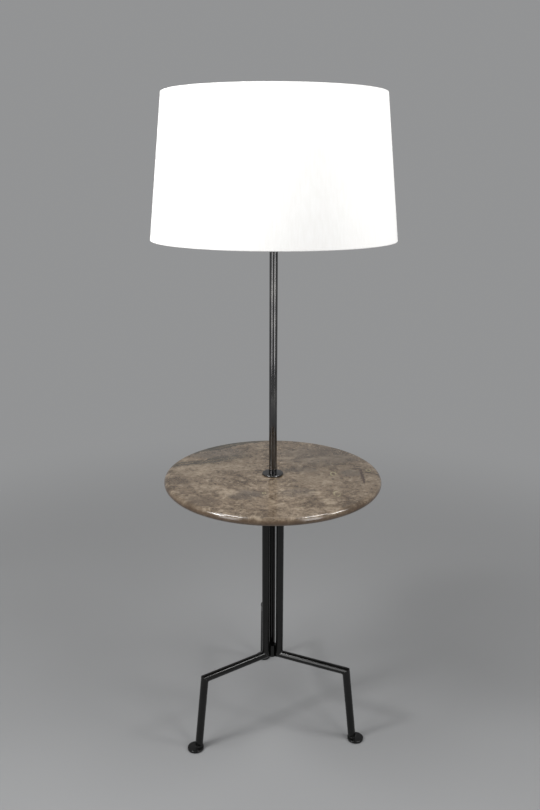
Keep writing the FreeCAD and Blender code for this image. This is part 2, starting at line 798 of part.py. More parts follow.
def make_switch():
    """The switch shaft, and a turned knob with an oval key to turn it by."""
    piece("switch_shaft", cylinder(
        "switch_shaft", size.switch_shaft / 2, size.switch_shaft_outer - size.switch_shaft_inner,
        y=-size.switch_shaft_inner, z=size.switch_height, lean=QUARTER_TURN, lean_axis=ACROSS))
    knob = doc.addObject("PartDesign::Body", "switch_knob_blank")
    collar = size.knob_collar / 2
    padded(knob, "knob_collar", [
        (0.0, collar, collar, LEFT_TURN),
        (-collar, 0.0, collar, LEFT_TURN),
        (0.0, -collar, collar, LEFT_TURN),
        (collar, 0.0, collar, LEFT_TURN),
    ], size.knob_collar_length)
    half_width = size.knob_key_width / 2
    half_end = size.knob_end_thickness / 2
    padded(knob, "knob_key", [
        (half_width, -half_end, size.knob_side_radius, LEFT_TURN),
        (half_width, half_end, size.knob_end_radius, LEFT_TURN),
        (-half_width, half_end, size.knob_side_radius, LEFT_TURN),
        (-half_width, -half_end, size.knob_end_radius, LEFT_TURN),
    ], size.knob_length - size.knob_collar_length, lift=size.knob_collar_length)
    knob.Placement = FreeCAD.Placement(
        FreeCAD.Vector(), FreeCAD.Rotation(FreeCAD.Vector(*ACROSS), QUARTER_TURN))
    bind(knob, Placement__Base__y=-size.knob_start, Placement__Base__z=size.switch_height)
    socket = cylinder(
        "switch_knob_socket", size.switch_shaft / 2,
        size.switch_shaft_outer - size.knob_start, y=-size.knob_start,
        z=size.switch_height, lean=QUARTER_TURN, lean_axis=ACROSS)
    piece("switch_knob", cut("switch_knob", knob, socket))


def make_bulb():
    """The pear-shaped glass on its screw base, with the tip contact under it."""
    ball = size.bulb_diameter / 2
    neck = size.bulb_neck / 2
    wall = size.bulb_glass_wall
    angle = size.bulb_waist_angle
    tip_bottom = size.block_top + size.contact_height
    centre = tip_bottom + size.bulb_length - ball
    waist_radius = (ball * cosine(angle) - neck) / (1.0 - cosine(angle))
    waist_height = centre - ball * sine(angle)
    neck_top = waist_height - waist_radius * sine(angle)
    piece("bulb_glass", turned("bulb_glass", [
        (neck - wall, size.bulb_base_top),
        (neck, size.bulb_base_top),
        (neck, neck_top),
        (ball * cosine(angle), waist_height, waist_radius, RIGHT_TURN),
        (ball, centre, ball, LEFT_TURN),
        (0, centre + ball, ball, LEFT_TURN),
        (0, centre + ball - wall),
        (ball - wall, centre, ball - wall, RIGHT_TURN),
        ((ball - wall) * cosine(angle), centre - (ball - wall) * sine(angle),
         ball - wall, RIGHT_TURN),
        (neck - wall, neck_top, waist_radius + wall, LEFT_TURN),
    ]))
    base = size.bulb_base_diameter / 2
    heel = size.bulb_base_heel / 2
    piece("bulb_base", turned("bulb_base", [
        (0, size.bulb_base_bottom),
        (heel, size.bulb_base_bottom),
        (base, size.bulb_base_bottom + (base - heel) / 2),
        (base, size.bulb_base_top),
        (0, size.bulb_base_top),
    ]))
    piece("bulb_contact", cylinder(
        "bulb_contact", size.bulb_tip_diameter / 2, size.bulb_base_bottom - tip_bottom,
        z=tip_bottom))


def shade_radius(height):
    """The outside radius of the shade at a height."""
    top = size.shade_top_diameter / 2
    bottom = size.shade_bottom_diameter / 2
    share = (size.overall_height - height) / size.shade_height
    return top + (bottom - top) * share


def make_ring(node, height):
    """A round wire hoop that lies against the lining inside the hem."""
    inner_wall = size.cover_thickness + size.lining_thickness
    hoop = doc.addObject("Part::Torus", node)
    bind(hoop, Radius2=size.ring_wire / 2, Placement__Base__z=height)
    bind(hoop, Radius1=shade_radius(height) - inner_wall - size.ring_wire / 2 - size.ring_clearance)
    return piece(node, hoop)


def make_shade():
    """A cloth cover on a stiff plastic lining, rolled over a wire ring at each rim, and a
    three-armed spider with a hub that sits on the harp's stud."""
    top = size.overall_height
    cover = size.cover_thickness
    hem = size.hem_width
    depth = size.hem_depth
    top_radius = shade_radius(top)
    bottom_radius = shade_radius(shade_bottom)
    cloth = turned("shade_cover_blank", [
        (bottom_radius, shade_bottom),
        (top_radius, top),
        (top_radius - hem, top),
        (top_radius - hem, top - depth),
        (top_radius - hem + cover, top - depth),
        (top_radius - hem + cover, top - cover),
        (top_radius - cover, top - cover),
        (bottom_radius - cover, shade_bottom + cover),
        (bottom_radius - hem + cover, shade_bottom + cover),
        (bottom_radius - hem + cover, shade_bottom + depth),
        (bottom_radius - hem, shade_bottom + depth),
        (bottom_radius - hem, shade_bottom),
    ])
    lining = size.lining_thickness
    piece("shade_lining", turned("shade_lining", [
        (bottom_radius - cover - lining, shade_bottom + cover),
        (bottom_radius - cover, shade_bottom + cover),
        (top_radius - cover, top - cover),
        (top_radius - cover - lining, top - cover),
    ]))
    edge_gap = cover + size.ring_wire / 2 + size.ring_clearance
    top_ring = make_ring("shade_top_ring", top - edge_gap)
    make_ring("shade_bottom_ring", shade_bottom + edge_gap)

    hub_radius = size.hub_diameter / 2
    piece("spider_hub", turned("spider_hub", ring_outline(
        size.hub_hole / 2, hub_radius, hub_bottom, hub_top)))
    ring_reach = shade_radius(top - edge_gap) - size.cover_thickness - lining - size.ring_wire / 2
    arm_start = hub_bottom + size.hub_thickness / 2
    arm_end = top - edge_gap
    arm_lean = slope_angle(ring_reach, arm_end - arm_start)
    arm_length = root(
        ring_reach * ring_reach + (arm_end - arm_start) * (arm_end - arm_start))
    wire = size.spider_wire / 2
    notches = []
    for number in range(3):
        node = f"spider_arm_{number + 1}"
        axis = level_axis(size.first_spider_angle + THIRD_OF_A_TURN * number)
        rod = cylinder(
            f"{node}_rod", wire, arm_length, z=arm_start, lean=arm_lean, lean_axis=axis)
        eye = cylinder(
            f"{node}_eye", hub_radius, size.hub_thickness * 6, z=hub_bottom - size.hub_thickness * 2)
        piece(node, cut(node, rod, eye, top_ring))
        notches.append(cylinder(
            f"{node}_notch", wire + size.ring_clearance, arm_length,
            z=arm_start, lean=arm_lean, lean_axis=axis))
    piece("shade_cover", cut("shade_cover", cloth, *notches))


def make_finial():
    """The turned knob that screws down on the stud and holds the shade."""
    foot = size.finial_foot_diameter / 2
    neck = size.finial_neck_diameter / 2
    ball = size.finial_ball_diameter / 2
    tip = size.finial_tip_diameter / 2
    bore = size.stud_diameter / 2 + size.fit_clearance
    foot_top = hub_top + size.finial_foot_height
    cove_top = foot_top + (foot - neck)
    top = hub_top + size.finial_height
    rise = size.finial_tip_height
    ball_centre = top - rise - root(ball * ball - tip * tip)
    dome_radius = (tip * tip + rise * rise) / (rise * 2)
    piece("finial", turned("finial", [
        (bore, hub_top),
        (foot, hub_top),
        (foot, foot_top),
        (neck, cove_top, foot - neck, RIGHT_TURN),
        (neck, ball_centre - root(ball * ball - neck * neck)),
        (ball, ball_centre, ball, LEFT_TURN),
        (tip, top - rise, ball, LEFT_TURN),
        (0, top, dome_radius, LEFT_TURN),
        (0, hub_top + size.finial_bore_depth),
        (bore, hub_top + size.finial_bore_depth),
    ]))


def check_everything():
    """Stops if any object failed or any sub-part is empty or not a valid solid."""
    for item in doc.Objects:
        if "Invalid" in item.State or "Error" in item.State:
            raise RuntimeError(f"{item.Label} failed: {item.State}")
    for node, item in pieces.items():
        if item.Shape.isNull() or not item.Shape.isValid() or item.Shape.Volume <= 0:
            raise RuntimeError(f"{node} has no valid shape")


for leg_number, leg_name in enumerate(LEG_NAMES):
    extra_reach = size.rear_leg_extra if leg_name == "rear" else as_size(0)
    make_leg(leg_name, size.first_leg_angle + THIRD_OF_A_TURN * leg_number, extra_reach)
make_support()
make_table()
make_clamp_rod()
make_pole()
make_saddle()
make_harp()
make_socket()
make_switch()
make_bulb()
make_shade()
make_finial()
doc.recompute()
check_everything()

os.makedirs("parts", exist_ok=True)
for node_name, shape_object in pieces.items():
    shape_object.Shape.exportStep(f"parts/{node_name}.step")
print(f"{len(pieces)} sub-parts written")
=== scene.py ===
import math

import bmesh
import bpy
from mathutils import Matrix, Vector


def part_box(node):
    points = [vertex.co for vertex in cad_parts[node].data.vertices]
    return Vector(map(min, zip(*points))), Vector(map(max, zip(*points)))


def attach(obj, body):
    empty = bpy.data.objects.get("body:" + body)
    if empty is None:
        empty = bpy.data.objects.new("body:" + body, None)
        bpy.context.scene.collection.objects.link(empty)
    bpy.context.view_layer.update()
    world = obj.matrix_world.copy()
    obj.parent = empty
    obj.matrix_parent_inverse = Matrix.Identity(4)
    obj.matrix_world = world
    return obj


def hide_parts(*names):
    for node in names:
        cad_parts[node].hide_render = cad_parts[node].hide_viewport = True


# A floor lamp with a round stone table part way up its pole, on three legs of steel tube,
# and with a drum shade of white linen over its bulb. The pieces follow from the floor up.
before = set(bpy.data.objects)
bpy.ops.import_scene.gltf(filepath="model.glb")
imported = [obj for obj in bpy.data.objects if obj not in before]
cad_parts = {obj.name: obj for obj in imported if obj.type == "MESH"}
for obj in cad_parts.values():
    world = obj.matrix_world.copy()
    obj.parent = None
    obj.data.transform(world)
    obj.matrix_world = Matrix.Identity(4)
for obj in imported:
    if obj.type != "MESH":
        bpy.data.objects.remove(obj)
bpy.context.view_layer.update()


# ---------------------------------------------------------------------------------------
# The camera stands 1.85 m from the pole at standing eye height, a little left of the
# lamp's front, and looks slightly down at it.
CAMERA_DISTANCE = 1.847
CAMERA_HEIGHT = 1.396
CAMERA_BEARING = math.radians(-5.558)
CAMERA_TURN = math.radians(-5.329)
CAMERA_TILT = math.radians(16.272)
CAMERA_ROLL = math.radians(0.172)
SENSOR_WIDTH = 36.0
LENS_LENGTH = 36.12

lens = bpy.data.cameras.new("studio_camera")
lens.sensor_width = SENSOR_WIDTH
lens.lens = LENS_LENGTH
camera = bpy.data.objects.new("studio_camera", lens)
bpy.context.scene.collection.objects.link(camera)
camera.matrix_world = (
    Matrix.Rotation(CAMERA_BEARING, 4, "Z")
    @ Matrix.Translation((0, -CAMERA_DISTANCE, CAMERA_HEIGHT))
    @ Matrix.Rotation(CAMERA_TURN - CAMERA_BEARING, 4, "Z")
    @ Matrix.Rotation(math.pi / 2 - CAMERA_TILT, 4, "X")
    @ Matrix.Rotation(CAMERA_ROLL, 4, "Z")
)
bpy.context.scene.camera = camera
bpy.context.scene.view_settings.view_transform = "Standard"


# ---------------------------------------------------------------------------------------
# The studio is a pale grey floor that runs out into a backdrop of the same grey, two tall
# soft boxes left and right of the camera, and on either side of the lamp a high one for the
# bright line along the table's rim and a small lower one for those along the legs' arms.
BACKDROP_GREY = (0.290, 0.293, 0.297)
FLOOR_GREY = (0.305, 0.308, 0.312)
FLOOR_ROUGHNESS = 0.9
FLOOR_GLOSS = 0.1
FLOOR_RADIUS = 9.0
FLOOR_SIDES = 96
FLOOR_FADE = (0.7, 2.4)
SKY_STRENGTH = 0.30
SOFT_BOXES = {
    "left_soft_box": {
        "bearing": -42, "distance": 2.5, "height": 1.2, "size": (0.8, 2.1), "power": 17},
    "right_soft_box": {
        "bearing": 38, "distance": 2.5, "height": 1.2, "size": (0.8, 2.1), "power": 19},
    "left_high_box": {
        "bearing": -68, "distance": 1.05, "height": 2.7, "size": (0.9, 0.36), "power": 17},
    "right_high_box": {
        "bearing": 68, "distance": 1.05, "height": 2.7, "size": (0.9, 0.36), "power": 15},
    "left_side_box": {
        "bearing": -61, "distance": 1.5, "height": 1.82, "size": (0.35, 0.35), "power": 14},
    "right_side_box": {
        "bearing": 74, "distance": 1.5, "height": 1.82, "size": (0.35, 0.35), "power": 6},
}
SOFT_BOX_AIM = (0, 0, 0.7)


def link(tree, start, end):
    """Joins an output socket to an input socket."""
    tree.links.new(start, end)


def shown_ray(tree):
    """One for a ray from the camera, or one seen in a gloss or through glass."""
    path = tree.nodes.new("ShaderNodeLightPath")
    either = tree.nodes.new("ShaderNodeMath")
    either.operation = "MAXIMUM"
    link(tree, path.outputs["Is Camera Ray"], either.inputs[0])
    link(tree, path.outputs["Is Glossy Ray"], either.inputs[1])
    any_of_three = tree.nodes.new("ShaderNodeMath")
    any_of_three.operation = "MAXIMUM"
    link(tree, either.outputs[0], any_of_three.inputs[0])
    link(tree, path.outputs["Is Transmission Ray"], any_of_three.inputs[1])
    return any_of_three.outputs[0]


world = bpy.data.worlds.new("studio")
world.use_nodes = True
bpy.context.scene.world = world
sky = world.node_tree
sky_light = sky.nodes["Background"]
sky_light.inputs["Color"].default_value = (1, 1, 1, 1)
sky_light.inputs["Strength"].default_value = SKY_STRENGTH
sky_shown = sky.nodes.new("ShaderNodeBackground")
sky_shown.inputs["Color"].default_value = (*BACKDROP_GREY, 1)
sky_shown.inputs["Strength"].default_value = 1.0
sky_choice = sky.nodes.new("ShaderNodeMixShader")
link(sky, shown_ray(sky), sky_choice.inputs["Fac"])
link(sky, sky_light.outputs[0], sky_choice.inputs[1])
link(sky, sky_shown.outputs[0], sky_choice.inputs[2])
link(sky, sky_choice.outputs[0], sky.nodes["World Output"].inputs["Surface"])

floor_grey = bpy.data.materials.new("studio_floor")
floor_grey.use_nodes = True
floor_tree = floor_grey.node_tree
floor_paint = floor_tree.nodes["Principled BSDF"]
floor_paint.inputs["Base Color"].default_value = (*FLOOR_GREY, 1)
floor_paint.inputs["Roughness"].default_value = FLOOR_ROUGHNESS
floor_paint.inputs["Specular IOR Level"].default_value = FLOOR_GLOSS
floor_far = floor_tree.nodes.new("ShaderNodeEmission")
floor_far.inputs["Color"].default_value = (*BACKDROP_GREY, 1)
floor_place = floor_tree.nodes.new("ShaderNodeTexCoord")
floor_reach = floor_tree.nodes.new("ShaderNodeVectorMath")
floor_reach.operation = "LENGTH"
link(floor_tree, floor_place.outputs["Object"], floor_reach.inputs[0])
floor_fade = floor_tree.nodes.new("ShaderNodeMapRange")
floor_fade.interpolation_type = "SMOOTHSTEP"
floor_fade.inputs["From Min"].default_value = FLOOR_FADE[0]
floor_fade.inputs["From Max"].default_value = FLOOR_FADE[1]
link(floor_tree, floor_reach.outputs["Value"], floor_fade.inputs["Value"])
floor_blend = floor_tree.nodes.new("ShaderNodeMixShader")
link(floor_tree, floor_fade.outputs["Result"], floor_blend.inputs["Fac"])
link(floor_tree, floor_paint.outputs[0], floor_blend.inputs[1])
link(floor_tree, floor_far.outputs[0], floor_blend.inputs[2])
link(floor_tree, floor_blend.outputs[0], floor_tree.nodes["Material Output"].inputs["Surface"])

floor_shape = bmesh.new()
bmesh.ops.create_circle(floor_shape, cap_ends=True, radius=FLOOR_RADIUS, segments=FLOOR_SIDES)
floor_mesh = bpy.data.meshes.new("studio_floor")
floor_shape.to_mesh(floor_mesh)
floor_shape.free()
floor_mesh.materials.append(floor_grey)
floor = bpy.data.objects.new("studio_floor", floor_mesh)
bpy.context.scene.collection.objects.link(floor)


for name, box in SOFT_BOXES.items():
    light = bpy.data.lights.new(name, "AREA")
    light.shape = "RECTANGLE"
    light.size, light.size_y = box["size"]
    light.energy = box["power"]
    bearing = math.radians(box["bearing"]) + CAMERA_BEARING
    place = Vector(
        (box["distance"] * math.sin(bearing), -box["distance"] * math.cos(bearing), box["height"]))
    stand = bpy.data.objects.new(name, light)
    stand.location = place
    stand.rotation_mode = "QUATERNION"
    stand.rotation_quaternion = (Vector(SOFT_BOX_AIM) - place).to_track_quat("-Z", "Y")
    stand.visible_camera = False
    bpy.context.scene.collection.objects.link(stand)


# ---------------------------------------------------------------------------------------
# Three legs of 19 mm round steel tube, each an upright, a level arm and a splayed shin in
# one plane, cut to mitres and welded, then powder coated satin black as one frame.
TUBE_RADIUS = 0.0095
TUBE_WALL = 0.0015
TUBE_SIDES = 48
STEM_REACH = 0.020
ARM_HEIGHT = 0.190
KNEE_BEHIND_FOOT = 0.0305
ANKLE_BEHIND_FOOT = 0.0095
PAD_TOP = 0.0065
PLATE_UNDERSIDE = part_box("support_plate")[0].z
LEG_BEARINGS = {"rear": 90.0, "front_left": 210.0, "front_right": 330.0}
WELD_RADIUS = 0.0018
WELD_SUNK = 0.0011
WELD_RIPPLE = 0.11
WELD_RIPPLES = 34
WELD_GROUND = 0.45
WELD_SIDES = 12
WELD_FINENESS = 4
SHARP_EDGE = math.radians(32)
COAT_BLACK = (0.003, 0.003, 0.0028)
COAT_TONES = [(0.35, (0.0018, 0.0018, 0.0016)), (0.65, (0.0040, 0.0039, 0.0036))]
COAT_GLOSS = 0.42
COAT_ROUGHNESS = (0.14, 0.22)
PEEL_DEPTH = 0.00006


def turns(sides):
    """The angles of a full circle's even steps."""
    return [2 * math.pi * step / sides for step in range(sides)]


def skinned(rings, closed=False):
    """A skin over rings of points that have as many points each; closed joins the last
    ring to the first, and an open skin gets a flat face at each end."""
    shape = bmesh.new()
    rows = [[shape.verts.new(point) for point in ring] for ring in rings]
    for row, following in zip(rows, rows[1:] + rows[:1] if closed else rows[1:]):
        for index in range(len(row)):
            after = (index + 1) % len(row)
            shape.faces.new((row[index], row[after], following[after], following[index]))
    if not closed:
        shape.faces.new(rows[0])
        shape.faces.new(rows[-1])
    return shape


def put(name, shape, finish, body, stands_for=()):
    """Makes a piece of the lamp from its shape, on its body, in place of its CAD nodes."""
    bmesh.ops.remove_doubles(shape, verts=shape.verts, dist=1e-7)
    bmesh.ops.dissolve_degenerate(shape, edges=shape.edges, dist=1e-8)
    bmesh.ops.recalc_face_normals(shape, faces=shape.faces)
    for face in shape.faces:
        face.smooth = True
    for edge in shape.edges:
        edge.smooth = len(edge.link_faces) == 2 and edge.calc_face_angle() < SHARP_EDGE
    mesh = bpy.data.meshes.new(name)
    shape.to_mesh(mesh)
    shape.free()
    mesh.materials.append(finish)
    made = bpy.data.objects.new(name, mesh)
    bpy.context.scene.collection.objects.link(made)
    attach(made, body)
    if stands_for:
        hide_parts(*stands_for)
    return made


def dress(finish, *nodes):
    """Gives a finish to pieces that keep their own shape."""
    for node in nodes:
        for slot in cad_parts[node].material_slots:
            slot.material = finish


def swept(path, radius, sides, closed=False, ripple=None):
    """A round bar along a path of points; ripple gives its radius as a share at a point."""
    points = [Vector(point) for point in path]
    count = len(points)
    rings = []
    side = None
    for index, point in enumerate(points):
        ahead = points[(index + 1) % count] if closed or index < count - 1 else point
        behind = points[index - 1] if closed or index > 0 else point
        along = (ahead - behind).normalized()
        if side is None:
            side = along.orthogonal().normalized()
        side = (side - along * side.dot(along)).normalized()
        other = along.cross(side)
        reach = radius * (ripple(index) if ripple else 1.0)
        rings.append([
            point + (side * math.cos(turn) + other * math.sin(turn)) * reach
            for turn in turns(sides)])
    return skinned(rings, closed)


def finish_of(name, colour, roughness, metallic=0.0, gloss=0.5):
    """A new finish with its even values; the lines after it add what varies."""
    material = bpy.data.materials.new(name)
    material.use_nodes = True
    shader = material.node_tree.nodes["Principled BSDF"]
    shader.inputs["Base Color"].default_value = (*colour, 1)
    shader.inputs["Roughness"].default_value = roughness
    shader.inputs["Metallic"].default_value = metallic
    shader.inputs["Specular IOR Level"].default_value = gloss
    return material, material.node_tree, shader


def place_on_piece(tree, stretch=(1, 1, 1), turn=0.0):
    """The place on the piece in metres, stretched or turned about the lamp's axis."""
    place = tree.nodes.new("ShaderNodeTexCoord")
    mapping = tree.nodes.new("ShaderNodeMapping")
    mapping.inputs["Scale"].default_value = stretch
    mapping.inputs["Rotation"].default_value = (0, 0, turn)
    link(tree, place.outputs["Object"], mapping.inputs["Vector"])
    return mapping.outputs["Vector"]


def cloud(tree, place, scale, detail=4.0, roughness=0.55, distortion=0.0):
    """A soft random pattern, from 0 to 1."""
    noise = tree.nodes.new("ShaderNodeTexNoise")
    noise.inputs["Scale"].default_value = scale
    noise.inputs["Detail"].default_value = detail
    noise.inputs["Roughness"].default_value = roughness
    noise.inputs["Distortion"].default_value = distortion
    link(tree, place, noise.inputs["Vector"])
    return noise.outputs["Fac"]


def graded(tree, value, *stops):
    """Turns a value into colours, given as (value, colour) stops."""
    ramp = tree.nodes.new("ShaderNodeValToRGB")
    first, last = ramp.color_ramp.elements
    first.position, last.position = stops[0][0], stops[-1][0]
    first.color, last.color = (*stops[0][1], 1), (*stops[-1][1], 1)
    for position, colour in stops[1:-1]:
        ramp.color_ramp.elements.new(position).color = (*colour, 1)
    link(tree, value, ramp.inputs["Fac"])
    return ramp.outputs["Color"]


def between(tree, value, low, high, start=0.0, end=1.0):
    """Spreads a value between low and high smoothly over start to end."""
    spread = tree.nodes.new("ShaderNodeMapRange")
    spread.interpolation_type = "SMOOTHSTEP"
    spread.inputs["From Min"].default_value = low
    spread.inputs["From Max"].default_value = high
    spread.inputs["To Min"].default_value = start
    spread.inputs["To Max"].default_value = end
    link(tree, value, spread.inputs["Value"])
    return spread.outputs["Result"]


def tinted(tree, shader, pattern, stops):
    """Colours a finish by a pattern, with its colours given as (value, colour) stops."""
    link(tree, graded(tree, pattern, *stops), shader.inputs["Base Color"])


def dulled(tree, shader, pattern, low, high, roughness):
    """Takes a finish from its least to its most rough where a pattern goes low to high."""
    link(tree, between(tree, pattern, low, high, *roughness), shader.inputs["Roughness"])


def relief(tree, shader, height, depth, strength=1.0):
    """Raises and sinks the surface by a pattern, to a depth in metres."""
    bump = tree.nodes.new("ShaderNodeBump")
    bump.inputs["Distance"].default_value = depth
    bump.inputs["Strength"].default_value = strength
    link(tree, height, bump.inputs["Height"])
    link(tree, bump.outputs["Normal"], shader.inputs["Normal"])


def make_black_coat():
    """Satin black powder coat: a fine orange peel and slightly uneven gloss."""
    material, tree, shader = finish_of("satin_black_coat", COAT_BLACK, 0.2, gloss=COAT_GLOSS)
    place = place_on_piece(tree)
    tinted(tree, shader, cloud(tree, place, 35, 3), COAT_TONES)
    dulled(tree, shader, cloud(tree, place, 90, 3), 0.35, 0.65, COAT_ROUGHNESS)
    relief(tree, shader, cloud(tree, place, 900, 2), PEEL_DEPTH, 0.35)
    return material


black_coat = make_black_coat()


def tube_ring(at, along, facing, radius):
    """The points where a tube's wall meets the plane of a cut through its axis."""
    side = Vector((0, 1, 0))
    other = along.cross(side)
    ring = []
    for turn in turns(TUBE_SIDES):
        offset = (side * math.cos(turn) + other * math.sin(turn)) * radius
        ring.append(at + offset - along * (offset.dot(facing) / along.dot(facing)))
    return ring


def turned_to(bearing, ring):
    """Turns points from the leg's plane, which is X and Z, to the leg's bearing."""
    turn = Matrix.Rotation(math.radians(bearing), 3, "Z")
    return [turn @ Vector(point) for point in ring]


def make_leg_tube(name, bearing, start, end, start_facing, end_facing, stands_for):
    """One straight tube of a leg with its bore, cut at both ends to the facings given."""
    along = (end - start).normalized()
    bore = TUBE_RADIUS - TUBE_WALL
    rings = [
        tube_ring(start, along, start_facing, bore),
        tube_ring(start, along, start_facing, TUBE_RADIUS),
        tube_ring(end, along, end_facing, TUBE_RADIUS),
        tube_ring(end, along, end_facing, bore)]
    shape = skinned([turned_to(bearing, ring) for ring in rings], closed=True)
    put(name, shape, black_coat, "stand", [stands_for])


def make_weld(name, path, outward=None):
    """A low bead of weld along a closed joint, with the ripples that the torch leaves. The
    side that faces outward is ground nearly flush."""
    middle = sum(path, Vector()) / len(path)

    def height(index):
        """How thick the bead is at a point, as a share of its plain thickness."""
        ripple = 1.0 + WELD_RIPPLE * math.sin(index * WELD_RIPPLES / len(path) * 2 * math.pi)
        if outward is None:
            return ripple
        facing = max(0.0, (path[index] - middle).normalized().dot(outward))
        return ripple * (1.0 - WELD_GROUND * facing)

    bead = swept(path, WELD_RADIUS, WELD_SIDES, closed=True, ripple=height)
    put(name, bead, black_coat, "stand")


def finer(ring):
    """The same ring with more points on it."""
    return [
        start.lerp(end, step / WELD_FINENESS)
        for start, end in zip(ring, ring[1:] + ring[:1]) for step in range(WELD_FINENESS)]


def foot_reach(leg):
    """How far a leg's foot is from the lamp's axis; the rear one is the farthest."""
    low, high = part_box(f"foot_pad_{leg}")
    return ((Vector(low) + Vector(high)) / 2).xy.length


for leg, bearing in LEG_BEARINGS.items():
    elbow = Vector((STEM_REACH, 0, ARM_HEIGHT))
    top = Vector((STEM_REACH, 0, PLATE_UNDERSIDE))
    knee = Vector((foot_reach(leg) - KNEE_BEHIND_FOOT, 0, ARM_HEIGHT))
    ankle = Vector((foot_reach(leg) - ANKLE_BEHIND_FOOT, 0, PAD_TOP))
    up = Vector((0, 0, 1))
    out = Vector((1, 0, 0))
    down = (ankle - knee).normalized()
    elbow_cut = (out - up).normalized()
    knee_cut = (out + down).normalized()
    make_leg_tube(f"upright_{leg}", bearing, elbow, top, elbow_cut, up, f"upright_tube_{leg}")
    make_leg_tube(f"arm_{leg}", bearing, elbow, knee, elbow_cut, knee_cut, f"arm_tube_{leg}")
    make_leg_tube(f"shin_{leg}", bearing, knee, ankle, knee_cut, up, f"shin_tube_{leg}")
    seat = TUBE_RADIUS - WELD_SUNK
    welds = {
        "elbow_weld": (tube_ring(elbow, out, elbow_cut, seat), None),
        "knee_weld": (tube_ring(knee, out, knee_cut, seat), (out - down).normalized()),
        "ankle_weld": (tube_ring(ankle, down, up, TUBE_RADIUS - WELD_SUNK / 2), None),
        "plate_weld": (tube_ring(top, up, up, TUBE_RADIUS - WELD_SUNK / 2), None)}
    for weld, (ring, outward) in welds.items():
        if outward is not None:
            outward = turned_to(bearing, [outward])[0]
        make_weld(f"{weld}_{leg}", turned_to(bearing, finer(ring)), outward)
dress(black_coat, "stem_spacer")


# ---------------------------------------------------------------------------------------
# Each shin is welded to a steel disc 40 mm across, near its inner side, with a felt disc
# stuck under it so that the foot doesn't scratch the floor.
FOOT_RADIUS = 0.020
FOOT_EDGE = 0.0014
GLIDE_TOP = 0.0015
GLIDE_RADIUS = 0.017
GLIDE_EDGE = 0.0004
FELT_GREY = (0.12, 0.12, 0.118)
FELT_TONES = [(0.3, (0.07, 0.07, 0.068)), (0.7, (0.17, 0.17, 0.165))]


def rounded(corners, steps=6):
    """A path through (across, up) corners; one with a radius too becomes an arc."""
    path = []
    for index, corner in enumerate(corners):
        here = Vector(corner[:2])
        if len(corner) == 2:
            path.append(here)
            continue
        back = (Vector(corners[index - 1][:2]) - here).normalized()
        on = (Vector(corners[(index + 1) % len(corners)][:2]) - here).normalized()
        half = back.angle(on) / 2
        centre = here + (back + on).normalized() * (corner[2] / math.sin(half))
        start = (here + back * (corner[2] / math.tan(half)) - centre).normalized()
        end = (here + on * (corner[2] / math.tan(half)) - centre).normalized()
        path += [centre + start.slerp(end, step / steps) * corner[2] for step in range(steps + 1)]
    return path


def turned(outline, sides=96, at=(0.0, 0.0)):
    """Spins an outline of (radius, height) points about an upright axis."""
    return skinned([
        [(at[0] + radius * math.cos(turn), at[1] + radius * math.sin(turn), height)
         for turn in turns(sides)] for radius, height in outline], closed=True)


def make_felt():
    """Pressed grey felt, matt and slightly hairy."""
    material, tree, shader = finish_of("grey_felt", FELT_GREY, 0.95, gloss=0.1)
    place = place_on_piece(tree)
    tinted(tree, shader, cloud(tree, place, 700, 4), FELT_TONES)
    relief(tree, shader, cloud(tree, place, 1500, 3), 0.0002)
    return material


felt = make_felt()
for leg, bearing in LEG_BEARINGS.items():
    turn = math.radians(bearing)
    at = (foot_reach(leg) * math.cos(turn), foot_reach(leg) * math.sin(turn))
    pad = rounded([
        (0, GLIDE_TOP), (FOOT_RADIUS, GLIDE_TOP, FOOT_EDGE / 3),
        (FOOT_RADIUS, PAD_TOP, FOOT_EDGE), (0, PAD_TOP)])
    put(f"foot_{leg}", turned(pad, at=at), black_coat, "stand", [f"foot_pad_{leg}"])
    glide = rounded([
        (0, 0), (GLIDE_RADIUS, 0, GLIDE_EDGE), (GLIDE_RADIUS, GLIDE_TOP), (0, GLIDE_TOP)])
    put(f"felt_{leg}", turned(glide, at=at), felt, "stand", [f"foot_glide_{leg}"])


# ---------------------------------------------------------------------------------------
# A round steel plate welded on top of the three uprights carries the stone on a rubber
# disc, and a nut welded under the plate takes the hollow threaded rod.
PLATE_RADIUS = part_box("support_plate")[1].x
PLATE_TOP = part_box("support_plate")[1].z
PLATE_EDGE = 0.001
ROD_HOLE = 0.00505
TABLE_HOLE = 0.007
CUSHION_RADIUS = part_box("cushion_disc")[1].x
CUSHION_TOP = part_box("cushion_disc")[1].z
CUSHION_EDGE = 0.0004
RUBBER_BLACK = (0.03, 0.03, 0.03)
RUBBER_TONES = [(0.4, (0.022, 0.022, 0.022)), (0.75, (0.05, 0.05, 0.048))]


def make_rubber():
    """Black sheet rubber, matt with a faint dust."""
    material, tree, shader = finish_of("black_rubber", RUBBER_BLACK, 0.8, gloss=0.3)
    place = place_on_piece(tree)
    tinted(tree, shader, cloud(tree, place, 120, 5), RUBBER_TONES)
    relief(tree, shader, cloud(tree, place, 1200, 2), 0.00008)
    return material


rubber = make_rubber()
plate = rounded([
    (ROD_HOLE, PLATE_UNDERSIDE), (PLATE_RADIUS, PLATE_UNDERSIDE, PLATE_EDGE),
    (PLATE_RADIUS, PLATE_TOP, PLATE_EDGE), (ROD_HOLE, PLATE_TOP)])
put("plate", turned(plate), black_coat, "stand", ["support_plate"])
cushion = rounded([
    (TABLE_HOLE, PLATE_TOP), (CUSHION_RADIUS, PLATE_TOP, CUSHION_EDGE),
    (CUSHION_RADIUS, CUSHION_TOP, CUSHION_EDGE), (TABLE_HOLE, CUSHION_TOP)])
put("cushion", turned(cushion), rubber, "stand", ["cushion_disc"])
dress(black_coat, "weld_nut")


